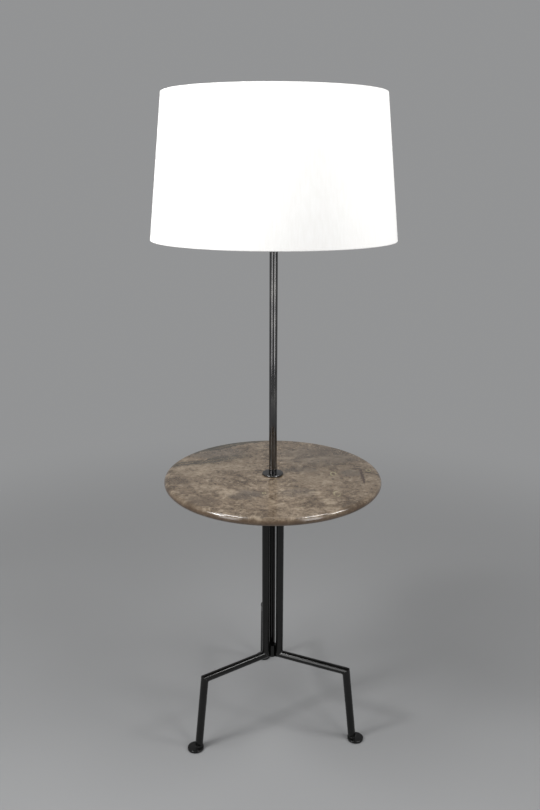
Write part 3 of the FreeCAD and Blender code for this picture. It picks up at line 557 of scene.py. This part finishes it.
# ---------------------------------------------------------------------------------------
# The table is a disc of brown-grey fossil limestone 20 mm thick with a full rounded edge,
# polished on top and round the edge and left honed underneath.
TABLE_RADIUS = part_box("stone_top")[1].x
TABLE_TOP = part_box("stone_top")[1].z
TABLE_EDGE = (TABLE_TOP - CUSHION_TOP) / 2
TABLE_EDGE_STEPS = 24
TABLE_SIDES = 240
POLISH_LINES = {"edge": 0.669, "underside": 0.664}
STONE_TURN = math.radians(5.558)
STONE_GLOSS = 0.8
STONE_ROUGHNESS = (0.12, 0.20)
STONE_RELIEF = 0.00010
SLATE_LAYER = 0.016
# places on the turned stone, in metres right of and behind the pole
SLATE_BANDS = [
    {"normal": (-0.485, 0.875), "offset": 0.250, "half_width": 0.030,
     "ends": (0.00, -0.05), "depth": 0.95},
    {"normal": (-0.355, 0.935), "offset": 0.140, "half_width": 0.020,
     "ends": (-0.04, -0.12), "depth": 0.72},
]
GREY_CLOUDS = [
    {"at": (-0.150, 0.150), "reach": (0.085, 0.050), "depth": 0.55},
    {"at": (0.110, 0.130), "reach": (0.120, 0.080), "depth": 0.40},
    {"at": (0.060, 0.030), "reach": (0.060, 0.022), "depth": 0.40},
    {"at": (0.190, 0.010), "reach": (0.030, 0.024), "depth": 0.55},
    {"at": (-0.060, -0.130), "reach": (0.045, 0.030), "depth": 0.55},
    {"at": (0.055, -0.115), "reach": (0.045, 0.030), "depth": 0.40},
]
DARK_CLOUDS = [
    {"at": (0.150, 0.160), "reach": (0.060, 0.040), "depth": 0.30},
    {"at": (-0.160, -0.170), "reach": (0.045, 0.035), "depth": 0.60},
    {"at": (-0.235, -0.040), "reach": (0.035, 0.030), "depth": 0.60},
    {"at": (-0.205, -0.060), "reach": (0.020, 0.014), "depth": 0.50},
    {"at": (-0.070, -0.145), "reach": (0.030, 0.018), "depth": 0.50},
    {"at": (0.175, -0.185), "reach": (0.035, 0.020), "depth": 0.50},
    {"at": (0.204, 0.040), "reach": (0.018, 0.007), "depth": 0.75},
]
LIGHT_CLOUDS = [
    {"at": (-0.130, 0.045), "reach": (0.110, 0.028), "depth": 0.50},
    {"at": (-0.190, 0.010), "reach": (0.050, 0.030), "depth": 0.35},
    {"at": (-0.150, -0.090), "reach": (0.040, 0.018), "depth": 0.60},
    {"at": (-0.105, -0.115), "reach": (0.028, 0.020), "depth": 0.75},
    {"at": (0.030, 0.115), "reach": (0.028, 0.012), "depth": 0.60},
    {"at": (0.022, -0.100), "reach": (0.007, 0.009), "depth": 0.85},
    {"at": (0.098, -0.118), "reach": (0.018, 0.014), "depth": 0.70},
    {"at": (0.128, -0.165), "reach": (0.022, 0.020), "depth": 0.75},
    {"at": (0.090, -0.040), "reach": (0.060, 0.035), "depth": 0.30},
]
SHELLS = [
    {"at": (0.147, 0.004), "reach": (0.0065, 0.0120)},
    {"at": (0.147, -0.122), "reach": (0.0070, 0.0125)},
    {"at": (-0.020, -0.120), "reach": (0.0040, 0.0050)},
    {"at": (0.235, 0.030), "reach": (0.0050, 0.0080)},
]
SCAR = {
    "across": 0.2165, "half_width": 0.0046, "ends": (-0.064, 0.042), "fade": 0.016, "depth": 0.85}
GROWTH_ARC = {
    "at": (0.156, -0.186), "reach": (0.050, 0.050), "middle": 0.8, "lines": 0.20, "depth": 0.55}
VEINS = [{"scale": 9, "width": 0.009, "depth": 0.70}, {"scale": 17, "width": 0.008, "depth": 0.55}]
STONE_TONES = [
    (0.36, (0.079, 0.056, 0.036)),
    (0.45, (0.127, 0.093, 0.062)),
    (0.53, (0.165, 0.124, 0.086)),
    (0.60, (0.203, 0.157, 0.111)),
    (0.69, (0.282, 0.226, 0.166)),
]
STONE_LIGHT = (0.311, 0.251, 0.184)
STONE_DARK = (0.052, 0.035, 0.023)
STONE_SLATE = (0.032, 0.032, 0.024)
STONE_GREY = (0.099, 0.086, 0.075)
# Painted shade: the edge below its top and the underside are darkened to a deep brown.
STONE_EDGE_SHADE = (0.075, 0.043, 0.022)
EDGE_SHADE = {"top": 0.6795, "low": 0.6730, "depth": 0.70}
STONE_SCAR = (0.033, 0.015, 0.010)
STONE_SHELL = (0.450, 0.413, 0.250)
STONE_FLECK = (0.475, 0.425, 0.325)


def arithmetic(tree, operation, first, second=None, third=None):
    """One step of arithmetic on values, each a socket or a plain number."""
    step = tree.nodes.new("ShaderNodeMath")
    step.operation = operation
    for index, value in enumerate((first, second, third)):
        if value is None:
            continue
        if isinstance(value, (int, float)):
            step.inputs[index].default_value = value
        else:
            link(tree, value, step.inputs[index])
    return step.outputs[0]


def coloured(tree, share, under, over):
    """Lays a colour over another by a share from 0 to 1."""
    mix = tree.nodes.new("ShaderNodeMix")
    mix.data_type = "RGBA"
    link(tree, share, mix.inputs["Factor"])
    for socket, colour in ((mix.inputs[6], under), (mix.inputs[7], over)):
        if isinstance(colour, tuple):
            socket.default_value = (*colour, 1)
        else:
            link(tree, colour, socket)
    return mix.outputs[2]


def make_stone():
    """Fossil limestone: clouds of tan and brown, two slate bands, cracks, shells and specks,
    polished above and honed below, with painted shade darkening the edge and underside."""
    material, tree, shader = finish_of("polished_stone", STONE_LIGHT, 0.2, gloss=STONE_GLOSS)
    place = place_on_piece(tree, turn=STONE_TURN)
    parts = tree.nodes.new("ShaderNodeSeparateXYZ")
    link(tree, place, parts.inputs[0])
    across, behind, height = parts.outputs

    def off_middle(pattern, size):
        """A pattern made to swing either side of nothing by up to about half a size."""
        return arithmetic(tree, "MULTIPLY", arithmetic(tree, "SUBTRACT", pattern, 0.5), size)

    def reach_from(spot, reach):
        """The distance from a place on the stone, as a share of the patch's reach."""
        squares = []
        for value, middle, extent in zip((across, behind), spot, reach):
            offset = arithmetic(
                tree, "DIVIDE", arithmetic(tree, "SUBTRACT", value, middle), extent)
            squares.append(arithmetic(tree, "MULTIPLY", offset, offset))
        return arithmetic(tree, "SQRT", arithmetic(tree, "ADD", *squares))

    ragged = cloud(tree, place, 22, 9, 0.66, 0.9)
    crumbly = cloud(tree, place, 120, 7, 0.68)
    grain = cloud(tree, place, 420, 5, 0.7)
    wander = off_middle(ragged, 0.10)
    pebbly = cloud(tree, place, 50, 8, 0.68, 0.5)
    fine_wander = off_middle(crumbly, 0.018)

    tone = arithmetic(
        tree, "ADD", cloud(tree, place, 15, 11, 0.70, 0.8), off_middle(crumbly, 0.32))
    colour = graded(tree, tone, *STONE_TONES)
    for pattern, low, high, share, tint in (
            (pebbly, 0.53, 0.62, 0.60, STONE_LIGHT), (pebbly, 0.47, 0.38, 0.62, STONE_DARK),
            (crumbly, 0.55, 0.68, 0.55, STONE_LIGHT), (crumbly, 0.45, 0.33, 0.65, STONE_DARK),
            (grain, 0.57, 0.70, 0.45, STONE_LIGHT), (grain, 0.45, 0.30, 0.55, STONE_DARK)):
        colour = coloured(tree, between(tree, pattern, low, high, 0, share), colour, tint)

    for patches, tint in (
            (GREY_CLOUDS, STONE_GREY), (DARK_CLOUDS, STONE_DARK), (LIGHT_CLOUDS, STONE_LIGHT)):
        for patch in patches:
            reach = arithmetic(
                tree, "MULTIPLY_ADD", wander, 16.0, reach_from(patch["at"], patch["reach"]))
            share = between(tree, reach, 1.10, 0.60, 0, patch["depth"])
            mottled = arithmetic(
                tree, "MULTIPLY", share, between(tree, crumbly, 0.36, 0.56, 0.35, 1.0))
            colour = coloured(tree, mottled, colour, tint)

    for band in SLATE_BANDS:
        along = arithmetic(
            tree, "ADD", arithmetic(tree, "MULTIPLY", across, band["normal"][0]),
            arithmetic(tree, "MULTIPLY", behind, band["normal"][1]))
        layer = arithmetic(
            tree, "MULTIPLY_ADD", wander, 0.5, arithmetic(tree, "SUBTRACT", along, band["offset"]))
        layers = arithmetic(tree, "SINE", arithmetic(
            tree, "MULTIPLY_ADD", crumbly, 5.0, arithmetic(
                tree, "MULTIPLY", layer, 2 * math.pi / SLATE_LAYER)))
        lined = between(
            tree, arithmetic(tree, "ABSOLUTE", layer), band["half_width"],
            band["half_width"] * 0.5, 0, band["depth"])
        streaked = arithmetic(tree, "MULTIPLY", lined, between(tree, layers, -0.9, 0.6, 0.30, 1.0))
        ended = between(tree, across, *band["ends"])
        colour = coloured(tree, arithmetic(tree, "MULTIPLY", streaked, ended), colour, STONE_SLATE)

    for vein in VEINS:
        off_vein = arithmetic(
            tree, "ABSOLUTE", off_middle(cloud(tree, place, vein["scale"], 8, 0.62, 1.8), 1.0))
        broken = between(tree, ragged, 0.45, 0.58)
        line = between(tree, off_vein, vein["width"], 0.0, 0, vein["depth"])
        colour = coloured(tree, arithmetic(tree, "MULTIPLY", line, broken), colour, STONE_DARK)

    scar = between(
        tree, arithmetic(tree, "ABSOLUTE", arithmetic(
            tree, "ADD", arithmetic(tree, "SUBTRACT", across, SCAR["across"]), fine_wander)),
        SCAR["half_width"], SCAR["half_width"] * 0.4)
    scar = arithmetic(tree, "MULTIPLY", scar, between(tree, pebbly, 0.38, 0.50, 0.45, 1.0))
    for edge, inside in zip(SCAR["ends"], (SCAR["fade"], -SCAR["fade"])):
        scar = arithmetic(tree, "MULTIPLY", scar, between(tree, behind, edge, edge + inside))
    colour = coloured(tree, arithmetic(tree, "MULTIPLY", scar, SCAR["depth"]), colour, STONE_SCAR)

    from_arc = reach_from(GROWTH_ARC["at"], GROWTH_ARC["reach"])
    growth = arithmetic(tree, "SINE", arithmetic(
        tree, "MULTIPLY_ADD", fine_wander, 220.0, arithmetic(
            tree, "MULTIPLY", from_arc, 2 * math.pi / GROWTH_ARC["lines"])))
    off_arc = arithmetic(
        tree, "ABSOLUTE", arithmetic(tree, "SUBTRACT", from_arc, GROWTH_ARC["middle"]))
    arc = arithmetic(
        tree, "MULTIPLY", between(tree, growth, 0.1, 0.8), between(tree, off_arc, 0.34, 0.18))
    for value, middle in zip((across, behind), GROWTH_ARC["at"]):
        quarter = between(tree, value, middle - 0.004, middle + 0.012)
        arc = arithmetic(tree, "MULTIPLY", arc, quarter)
    arc = arithmetic(tree, "MULTIPLY", arc, GROWTH_ARC["depth"])
    colour = coloured(tree, arc, colour, STONE_DARK)

    for shell in SHELLS:
        off_shell = arithmetic(tree, "ABSOLUTE", arithmetic(
            tree, "MULTIPLY_ADD", fine_wander, 60.0, arithmetic(
                tree, "SUBTRACT", reach_from(shell["at"], shell["reach"]), 1.0)))
        ring = arithmetic(
            tree, "MULTIPLY", between(tree, off_shell, 0.36, 0.06, 0, 0.50),
            between(tree, ragged, 0.42, 0.52, 0.15, 1.0))
        colour = coloured(tree, ring, colour, STONE_SHELL)

    specks = cloud(tree, place, 210, 3, 0.5)
    colour = coloured(tree, between(tree, specks, 0.68, 0.75, 0, 0.55), colour, STONE_FLECK)
    colour = coloured(tree, between(tree, specks, 0.33, 0.27, 0, 0.80), colour, STONE_DARK)
    # Painted shade: the colour darkens down the rounded edge from just under the top.
    rim = between(tree, height, EDGE_SHADE["top"], EDGE_SHADE["low"], 0, EDGE_SHADE["depth"])
    colour = coloured(tree, rim, colour, STONE_EDGE_SHADE)
    link(tree, colour, shader.inputs["Base Color"])

    underside = between(tree, height, POLISH_LINES["edge"], POLISH_LINES["underside"], 0, 0.35)
    polish = between(tree, crumbly, 0.3, 0.7, *STONE_ROUGHNESS)
    link(tree, arithmetic(tree, "ADD", polish, underside), shader.inputs["Roughness"])
    relief(tree, shader, crumbly, STONE_RELIEF, 0.25)
    return material


stone = make_stone()
table = [(TABLE_HOLE, CUSHION_TOP), (TABLE_RADIUS - TABLE_EDGE, CUSHION_TOP)]
table += [
    (TABLE_RADIUS - TABLE_EDGE + TABLE_EDGE * math.sin(math.pi * step / TABLE_EDGE_STEPS),
     CUSHION_TOP + TABLE_EDGE - TABLE_EDGE * math.cos(math.pi * step / TABLE_EDGE_STEPS))
    for step in range(1, TABLE_EDGE_STEPS)]
table += [(TABLE_RADIUS - TABLE_EDGE, TABLE_TOP), (TABLE_HOLE, TABLE_TOP)]
put("table", turned(table, TABLE_SIDES), stone, "stand", ["stone_top"])


# ---------------------------------------------------------------------------------------
# A turned steel flange on a thin gasket clamps the stone under the foot of the pole. The
# pole is drawn steel tube, and both are chemically blackened and waxed, not painted.
GASKET_RADIUS = 0.023
GASKET_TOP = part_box("flange_gasket")[1].z
FLANGE_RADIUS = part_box("base_flange")[1].x
FLANGE_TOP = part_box("base_flange")[1].z
FLANGE_EDGE = 0.0014
POLE_RADIUS = 0.0095
POLE_WALL = 0.0012
POLE_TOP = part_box("pole_tube")[1].z
POLE_CHAMFER = 0.0004
POLE_SIDES = 64
STEEL_GREY = (0.07, 0.07, 0.07)
STEEL_TONES = [
    (0.32, (0.085, 0.085, 0.088)), (0.50, (0.130, 0.128, 0.129)), (0.70, (0.235, 0.228, 0.220))]
STEEL_ROUGHNESS = (0.12, 0.19)
STREAK_SHARE = 0.35
STREAK_DEPTH = 0.00003


def make_blackened_steel():
    """Blackened steel: dark grey metal drawn lengthwise, worn a little brighter in streaks."""
    material, tree, shader = finish_of("blackened_steel", STEEL_GREY, 0.22, metallic=1.0)
    streaks = cloud(tree, place_on_piece(tree, (1, 1, 0.03)), 900, 4, 0.6)
    patches = cloud(tree, place_on_piece(tree, (1, 1, 0.35)), 40, 5, 0.6)
    tone = arithmetic(
        tree, "MULTIPLY_ADD", streaks, STREAK_SHARE,
        arithmetic(tree, "MULTIPLY", patches, 1 - STREAK_SHARE))
    tinted(tree, shader, tone, STEEL_TONES)
    dulled(tree, shader, patches, 0.35, 0.65, STEEL_ROUGHNESS)
    relief(tree, shader, streaks, STREAK_DEPTH, 0.3)
    return material


blackened_steel = make_blackened_steel()
gasket = rounded([
    (ROD_HOLE, TABLE_TOP), (GASKET_RADIUS, TABLE_TOP),
    (GASKET_RADIUS, GASKET_TOP), (ROD_HOLE, GASKET_TOP)])
put("gasket", turned(gasket), rubber, "stand", ["flange_gasket"])
flange = rounded([
    (ROD_HOLE, GASKET_TOP), (FLANGE_RADIUS, GASKET_TOP, FLANGE_EDGE / 3),
    (FLANGE_RADIUS, FLANGE_TOP, FLANGE_EDGE), (ROD_HOLE, FLANGE_TOP)])
put("flange", turned(flange), blackened_steel, "stand", ["base_flange"])
pole = rounded([
    (POLE_RADIUS - POLE_WALL, FLANGE_TOP), (POLE_RADIUS, FLANGE_TOP, POLE_CHAMFER),
    (POLE_RADIUS, POLE_TOP, POLE_CHAMFER), (POLE_RADIUS - POLE_WALL, POLE_TOP)], steps=3)
put("pole", turned(pole, POLE_SIDES), blackened_steel, "stand", ["pole_tube"])


# ---------------------------------------------------------------------------------------
# Hollow threaded rods, zinc plated, hold the table and the socket: one through the stone
# and one in the pole's top plug. A plastic bushing lines the lower one's end.
ZINC_GREY = (0.55, 0.55, 0.52)
ZINC_TONES = [(0.35, (0.46, 0.47, 0.46)), (0.65, (0.62, 0.61, 0.56))]
ZINC_ROUGHNESS = (0.26, 0.42)
MOULDED_BLACK = (0.022, 0.022, 0.022)
MOULDED_TONES = [(0.4, (0.016, 0.016, 0.016)), (0.7, (0.03, 0.029, 0.028))]


def make_zinc():
    """Bright zinc plate, slightly cloudy."""
    material, tree, shader = finish_of("zinc_plate", ZINC_GREY, 0.32, metallic=1.0)
    tone = cloud(tree, place_on_piece(tree), 160, 4)
    tinted(tree, shader, tone, ZINC_TONES)
    dulled(tree, shader, tone, 0.3, 0.7, ZINC_ROUGHNESS)
    return material


def make_moulded_black(name, roughness):
    """Moulded black plastic with a very slight flow pattern."""
    material, tree, shader = finish_of(name, MOULDED_BLACK, roughness)
    place = place_on_piece(tree)
    tinted(tree, shader, cloud(tree, place, 220, 3), MOULDED_TONES)
    relief(tree, shader, cloud(tree, place, 1400, 2), 0.00004, 0.5)
    return material


zinc = make_zinc()
black_plastic = make_moulded_black("black_plastic", 0.55)
dress(zinc, "clamp_rod", "socket_rod", "pole_plug_lower", "pole_plug_upper")
dress(black_plastic, "cord_bushing")


# ---------------------------------------------------------------------------------------
# The harp is 3.8 mm steel wire bent round the bulb and nickel plated. Its feet lie in the
# ears of a flat saddle under the socket, and two stepped sleeves drop over both.
HARP_RADIUS = 0.0019
HARP_LEG = 0.028
HARP_WIDEST = 0.04906
SADDLE_THICKNESS = 0.0016
HARP_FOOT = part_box("harp_saddle")[0].z + SADDLE_THICKNESS
HARP_LOWER_BEND = 1.34838
HARP_UPPER_BEND = 1.37347
HARP_BEND = 0.045
HARP_CROWN = 1.51975
HARP_CROWN_BEND = 0.03706
HARP_SIDES = 20
HARP_STEPS = 18
NICKEL_GREY = (0.58, 0.56, 0.51)
NICKEL_TONES = [(0.3, (0.50, 0.48, 0.44)), (0.7, (0.64, 0.62, 0.57))]
NICKEL_ROUGHNESS = (0.20, 0.34)


def make_nickel():
    """Satin nickel plate, warm and faintly brushed."""
    material, tree, shader = finish_of("satin_nickel", NICKEL_GREY, 0.26, metallic=1.0)
    place = place_on_piece(tree)
    tinted(tree, shader, cloud(tree, place, 130, 4), NICKEL_TONES)
    dulled(tree, shader, cloud(tree, place, 420, 3), 0.3, 0.7, NICKEL_ROUGHNESS)
    return material


nickel = make_nickel()
harp_side = [
    (HARP_LEG, HARP_LOWER_BEND, HARP_BEND), (HARP_WIDEST, HARP_UPPER_BEND, HARP_BEND),
    (HARP_WIDEST, HARP_CROWN, HARP_CROWN_BEND)]
harp_corners = [(HARP_LEG, HARP_FOOT)] + harp_side
harp_corners += [(-corner[0], *corner[1:]) for corner in reversed(harp_side)]
harp_corners += [(-HARP_LEG, HARP_FOOT)]
harp_path = [(point.x, 0, point.y) for point in rounded(harp_corners, steps=HARP_STEPS)]
harp = swept(harp_path, HARP_RADIUS, HARP_SIDES)
put("harp", harp, nickel, "stand", ["harp_wire"])
dress(nickel, "harp_saddle", "harp_stud", "harp_sleeve_left", "harp_sleeve_right")


# ---------------------------------------------------------------------------------------
# The lamp holder: a pressed cap and shell in nickel plate, a card liner, a moulded block
# with the switch in it, and a brass screw shell and contact for the bulb.
BRASS_YELLOW = (0.70, 0.50, 0.22)
BRASS_TONES = [(0.3, (0.55, 0.37, 0.15)), (0.7, (0.76, 0.56, 0.27))]
CARD_BROWN = (0.22, 0.19, 0.15)
CARD_TONES = [(0.35, (0.16, 0.135, 0.105)), (0.65, (0.28, 0.245, 0.20))]


def make_brass():
    """Plain brass, slightly dulled."""
    material, tree, shader = finish_of("brass", BRASS_YELLOW, 0.3, metallic=1.0)
    tinted(tree, shader, cloud(tree, place_on_piece(tree), 150, 4), BRASS_TONES)
    return material


def make_card():
    """Grey-brown vulcanised fibre card."""
    material, tree, shader = finish_of("fibre_card", CARD_BROWN, 0.85, gloss=0.2)
    place = place_on_piece(tree)
    tinted(tree, shader, cloud(tree, place, 500, 5), CARD_TONES)
    relief(tree, shader, cloud(tree, place, 1600, 3), 0.00008)
    return material


brass = make_brass()
phenolic = make_moulded_black("black_phenolic", 0.22)
dress(nickel, "socket_cap", "socket_shell")
dress(make_card(), "socket_liner")
dress(phenolic, "socket_block", "switch_knob")
dress(brass, "screw_shell", "centre_contact", "terminal_screws")
dress(zinc, "set_screw", "switch_shaft")


# ---------------------------------------------------------------------------------------
# A frosted bulb, switched on, with a rolled aluminium screw base and a tip contact.
BULB_CENTRE = 1.417
BULB_RADIUS = 0.030
BULB_NECK = 0.014
BULB_WAIST_ANGLE = math.radians(40)
BULB_BASE_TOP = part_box("bulb_base")[1].z
BULB_BASE_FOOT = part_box("bulb_base")[0].z
BULB_BASE_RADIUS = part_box("bulb_base")[1].x
BULB_HEEL = 0.007
BULB_HEEL_HEIGHT = 0.004
BULB_CEMENT = 0.0005
BULB_WAIST_STEPS = 16
BULB_GLOBE_STEPS = 40
BULB_SIDES = 80
BULB_WHITE = (0.93, 0.92, 0.88)
BULB_LIGHT = (1.0, 0.90, 0.74, 1)
BULB_GLOW = 7.0
ALUMINIUM_GREY = (0.72, 0.72, 0.72)
THREAD_PITCH = 0.00363
THREAD_DEPTH = 0.0009
THREAD_STEPS = 12
THREAD_SIDES = 72


def threaded(radius, low, high, heel):
    """A screw thread rolled in a solid bar, running out smoothly at both ends, over a heel
    given as its (radius, height)."""
    rings = [[
        (heel[0] * math.cos(turn), heel[0] * math.sin(turn), heel[1])
        for turn in turns(THREAD_SIDES)]]
    count = int((high - low) / THREAD_PITCH * THREAD_STEPS)
    for level in range(count + 1):
        share = level / count
        height = low + (high - low) * share
        run_out = min(1.0, share * count / THREAD_STEPS, (1 - share) * count / THREAD_STEPS)
        ring = []
        for turn in turns(THREAD_SIDES):
            wave = math.cos(2 * math.pi * (height - low) / THREAD_PITCH - turn)
            reach = radius - THREAD_DEPTH * run_out * (0.5 - 0.5 * wave)
            ring.append((reach * math.cos(turn), reach * math.sin(turn), height))
        rings.append(ring)
    return skinned(rings)


def make_opal_glass():
    """Frosted white glass with the light behind it."""
    material, tree, shader = finish_of("opal_glass", BULB_WHITE, 0.35)
    shader.inputs["Emission Color"].default_value = BULB_LIGHT
    shader.inputs["Emission Strength"].default_value = BULB_GLOW
    dulled(tree, shader, cloud(tree, place_on_piece(tree), 900, 3), 0.3, 0.7, (0.3, 0.42))
    return material


def make_aluminium():
    """Thin rolled aluminium."""
    material, tree, shader = finish_of("rolled_aluminium", ALUMINIUM_GREY, 0.3, metallic=1.0)
    dulled(tree, shader, cloud(tree, place_on_piece(tree), 400, 4), 0.3, 0.7, (0.24, 0.42))
    return material


waist_radius = (
    (BULB_RADIUS * math.cos(BULB_WAIST_ANGLE) - BULB_NECK) / (1 - math.cos(BULB_WAIST_ANGLE)))
waist_height = BULB_CENTRE - (BULB_RADIUS + waist_radius) * math.sin(BULB_WAIST_ANGLE)
bulb = [(0.0, BULB_BASE_TOP), (BULB_NECK - BULB_CEMENT, BULB_BASE_TOP)]
for step in range(BULB_WAIST_STEPS + 1):
    angle = BULB_WAIST_ANGLE * step / BULB_WAIST_STEPS
    bulb.append((
        BULB_NECK + waist_radius * (1 - math.cos(angle)),
        waist_height + waist_radius * math.sin(angle)))
for step in range(1, BULB_GLOBE_STEPS + 1):
    angle = -BULB_WAIST_ANGLE + (math.pi / 2 + BULB_WAIST_ANGLE) * step / BULB_GLOBE_STEPS
    bulb.append((BULB_RADIUS * math.cos(angle), BULB_CENTRE + BULB_RADIUS * math.sin(angle)))
put("bulb", turned(bulb, BULB_SIDES), make_opal_glass(), "bulb", ["bulb_glass"])
base_shape = threaded(
    BULB_BASE_RADIUS, BULB_BASE_FOOT + BULB_HEEL_HEIGHT, BULB_BASE_TOP,
    (BULB_HEEL, BULB_BASE_FOOT))
put("bulb_screw", base_shape, make_aluminium(), "bulb", ["bulb_base"])
dress(brass, "bulb_contact")


# ---------------------------------------------------------------------------------------
# The shade: fine white linen stuck on a stiff white plastic lining and rolled over a wire
# ring at each rim, joined by one overlapped seam at the back.
SHADE_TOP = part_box("shade_cover")[1].z
SHADE_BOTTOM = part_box("shade_cover")[0].z
SHADE_TOP_RADIUS = 0.2415
SHADE_BOTTOM_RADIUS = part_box("shade_cover")[1].x
SHADE_SIDES = 240
COVER_THICKNESS = 0.0006
HEM_WIDTH = 0.0055
HEM_DEPTH = 0.0042
HEM_EDGE = 0.0016
SEAM_WIDTH = 0.011
SEAM_THICKNESS = 0.0005
SEAM_LEVELS = 16
LINEN_WHITE = (0.88, 0.875, 0.86)
LINEN_TONES = [(0.2, (0.84, 0.832, 0.81)), (0.8, (0.90, 0.896, 0.885))]
LINEN_SHEEN = 0.15
WEAVE_PITCH = 0.0007
WEAVE_WANDER = 3.0
WEAVE_DEPTH = 0.00012
# Painted light: the cloth glows of itself for the bulb's light through it, dimmer towards both
# rims.
PAINTED_GLOW_UP_THE_SHADE = [
    (0.0, (0.78, 0.77, 0.74)), (0.12, (0.95, 0.94, 0.92)), (0.5, (1.0, 0.99, 0.97)),
    (0.88, (0.95, 0.94, 0.92)), (1.0, (0.78, 0.77, 0.74))]
SHADE_PAINTED_GLOW = 0.07
# Painted light: the lining glows of itself for the bulb's light on it.
LINING_PAINTED_GLOW_COLOUR = (1.0, 0.95, 0.86, 1)
LINING_PAINTED_GLOW = 0.6
ENAMEL_WHITE = (0.80, 0.80, 0.78)


def height_share(tree, height):
    """How far up the shade a point is, from 0 at the lower rim to 1 at the upper."""
    return between(tree, height, SHADE_BOTTOM, SHADE_TOP)


def make_linen():
    """Fine white linen with a painted glow for the bulb's light through it, dimmer towards both
    rims: crossed threads, some thicker than others.
    """
    material, tree, shader = finish_of("white_linen", LINEN_WHITE, 0.85, gloss=0.2)
    shader.inputs["Emission Strength"].default_value = SHADE_PAINTED_GLOW
    shader.inputs["Sheen Weight"].default_value = LINEN_SHEEN
    place = place_on_piece(tree)
    parts = tree.nodes.new("ShaderNodeSeparateXYZ")
    link(tree, place, parts.inputs[0])
    across, behind, height = parts.outputs
    around = arithmetic(
        tree, "MULTIPLY", arithmetic(tree, "ARCTAN2", behind, across), SHADE_BOTTOM_RADIUS)
    uneven = cloud(tree, place, 120, 3)
    warp, weft = [
        arithmetic(tree, "SINE", arithmetic(
            tree, "MULTIPLY_ADD", run, 2 * math.pi / WEAVE_PITCH, arithmetic(
                tree, "MULTIPLY", uneven, WEAVE_WANDER)))
        for run in (around, height)]
    weave = arithmetic(tree, "MULTIPLY", warp, weft)
    slubs = cloud(tree, place_on_piece(tree, (1, 1, 0.08)), 260, 3)
    thread = arithmetic(tree, "MULTIPLY_ADD", weave, 0.25, slubs)
    tinted(tree, shader, thread, LINEN_TONES)
    # Painted light: the glow's colour, brightest halfway up and dimmer towards both rims.
    link(tree, graded(tree, height_share(tree, height), *PAINTED_GLOW_UP_THE_SHADE),
         shader.inputs["Emission Color"])
    relief(tree, shader, thread, WEAVE_DEPTH, 0.6)
    return material


def make_lining():
    """Smooth white plastic sheet with a painted glow for the bulb's light on it."""
    material, tree, shader = finish_of("white_lining", LINEN_WHITE, 0.5, gloss=0.35)
    shader.inputs["Emission Color"].default_value = LINING_PAINTED_GLOW_COLOUR
    shader.inputs["Emission Strength"].default_value = LINING_PAINTED_GLOW
    dulled(tree, shader, cloud(tree, place_on_piece(tree), 60, 3), 0.3, 0.7, (0.42, 0.58))
    return material


def make_white_enamel():
    """White enamel on steel wire."""
    material, tree, shader = finish_of("white_enamel", ENAMEL_WHITE, 0.35)
    dulled(tree, shader, cloud(tree, place_on_piece(tree), 500, 3), 0.3, 0.7, (0.28, 0.42))
    return material


linen = make_linen()
inner_top = SHADE_TOP_RADIUS - HEM_WIDTH
inner_bottom = SHADE_BOTTOM_RADIUS - HEM_WIDTH
inner_edge = HEM_EDGE - COVER_THICKNESS
under_top = SHADE_TOP - COVER_THICKNESS
over_bottom = SHADE_BOTTOM + COVER_THICKNESS
cover = rounded([
    (SHADE_BOTTOM_RADIUS, SHADE_BOTTOM, HEM_EDGE),
    (SHADE_TOP_RADIUS, SHADE_TOP, HEM_EDGE),
    (inner_top, SHADE_TOP, HEM_EDGE),
    (inner_top, SHADE_TOP - HEM_DEPTH),
    (inner_top + COVER_THICKNESS, SHADE_TOP - HEM_DEPTH),
    (inner_top + COVER_THICKNESS, under_top, inner_edge),
    (SHADE_TOP_RADIUS - COVER_THICKNESS, under_top, inner_edge),
    (SHADE_BOTTOM_RADIUS - COVER_THICKNESS, over_bottom, inner_edge),
    (inner_bottom + COVER_THICKNESS, over_bottom, inner_edge),
    (inner_bottom + COVER_THICKNESS, SHADE_BOTTOM + HEM_DEPTH),
    (inner_bottom, SHADE_BOTTOM + HEM_DEPTH),
    (inner_bottom, SHADE_BOTTOM, HEM_EDGE)])
shade_cloth = put(
    "shade_cloth", turned(cover, SHADE_SIDES), linen, "shade", ["shade_cover"])


def on_cone(turn, height, proud):
    """A point on the shade's outside, or so far proud of it, at a turn from the front."""
    share = (height - SHADE_BOTTOM) / (SHADE_TOP - SHADE_BOTTOM)
    radius = SHADE_BOTTOM_RADIUS + (SHADE_TOP_RADIUS - SHADE_BOTTOM_RADIUS) * share + proud
    return (radius * math.sin(turn), -radius * math.cos(turn), height)


def make_seam():
    """The strip where one end of the cloth laps over the other, up the back."""
    rings = []
    half = SEAM_WIDTH / 2 / SHADE_BOTTOM_RADIUS
    seam_height = SHADE_TOP - SHADE_BOTTOM - 2 * HEM_EDGE
    for level in range(SEAM_LEVELS + 1):
        height = SHADE_BOTTOM + HEM_EDGE + seam_height * level / SEAM_LEVELS
        rings.append([
            on_cone(math.pi - half, height, -COVER_THICKNESS / 2),
            on_cone(math.pi - half, height, SEAM_THICKNESS * 0.7),
            on_cone(math.pi - half * 0.9, height, SEAM_THICKNESS),
            on_cone(math.pi, height, SEAM_THICKNESS),
            on_cone(math.pi + half * 0.9, height, SEAM_THICKNESS * 0.6),
            on_cone(math.pi + half, height, -COVER_THICKNESS / 2)])
    return skinned(rings)


seam = put("shade_seam", make_seam(), linen, "shade")
dress(make_lining(), "shade_lining")
dress(make_white_enamel(), "shade_top_ring", "shade_bottom_ring")


# ---------------------------------------------------------------------------------------
# Three nickel-plated wires run from the upper ring down to a washer, which sits on the
# harp's stud, and a turned finial screws down on it.
dress(nickel, "spider_hub", "spider_arm_1", "spider_arm_2", "spider_arm_3", "finial")
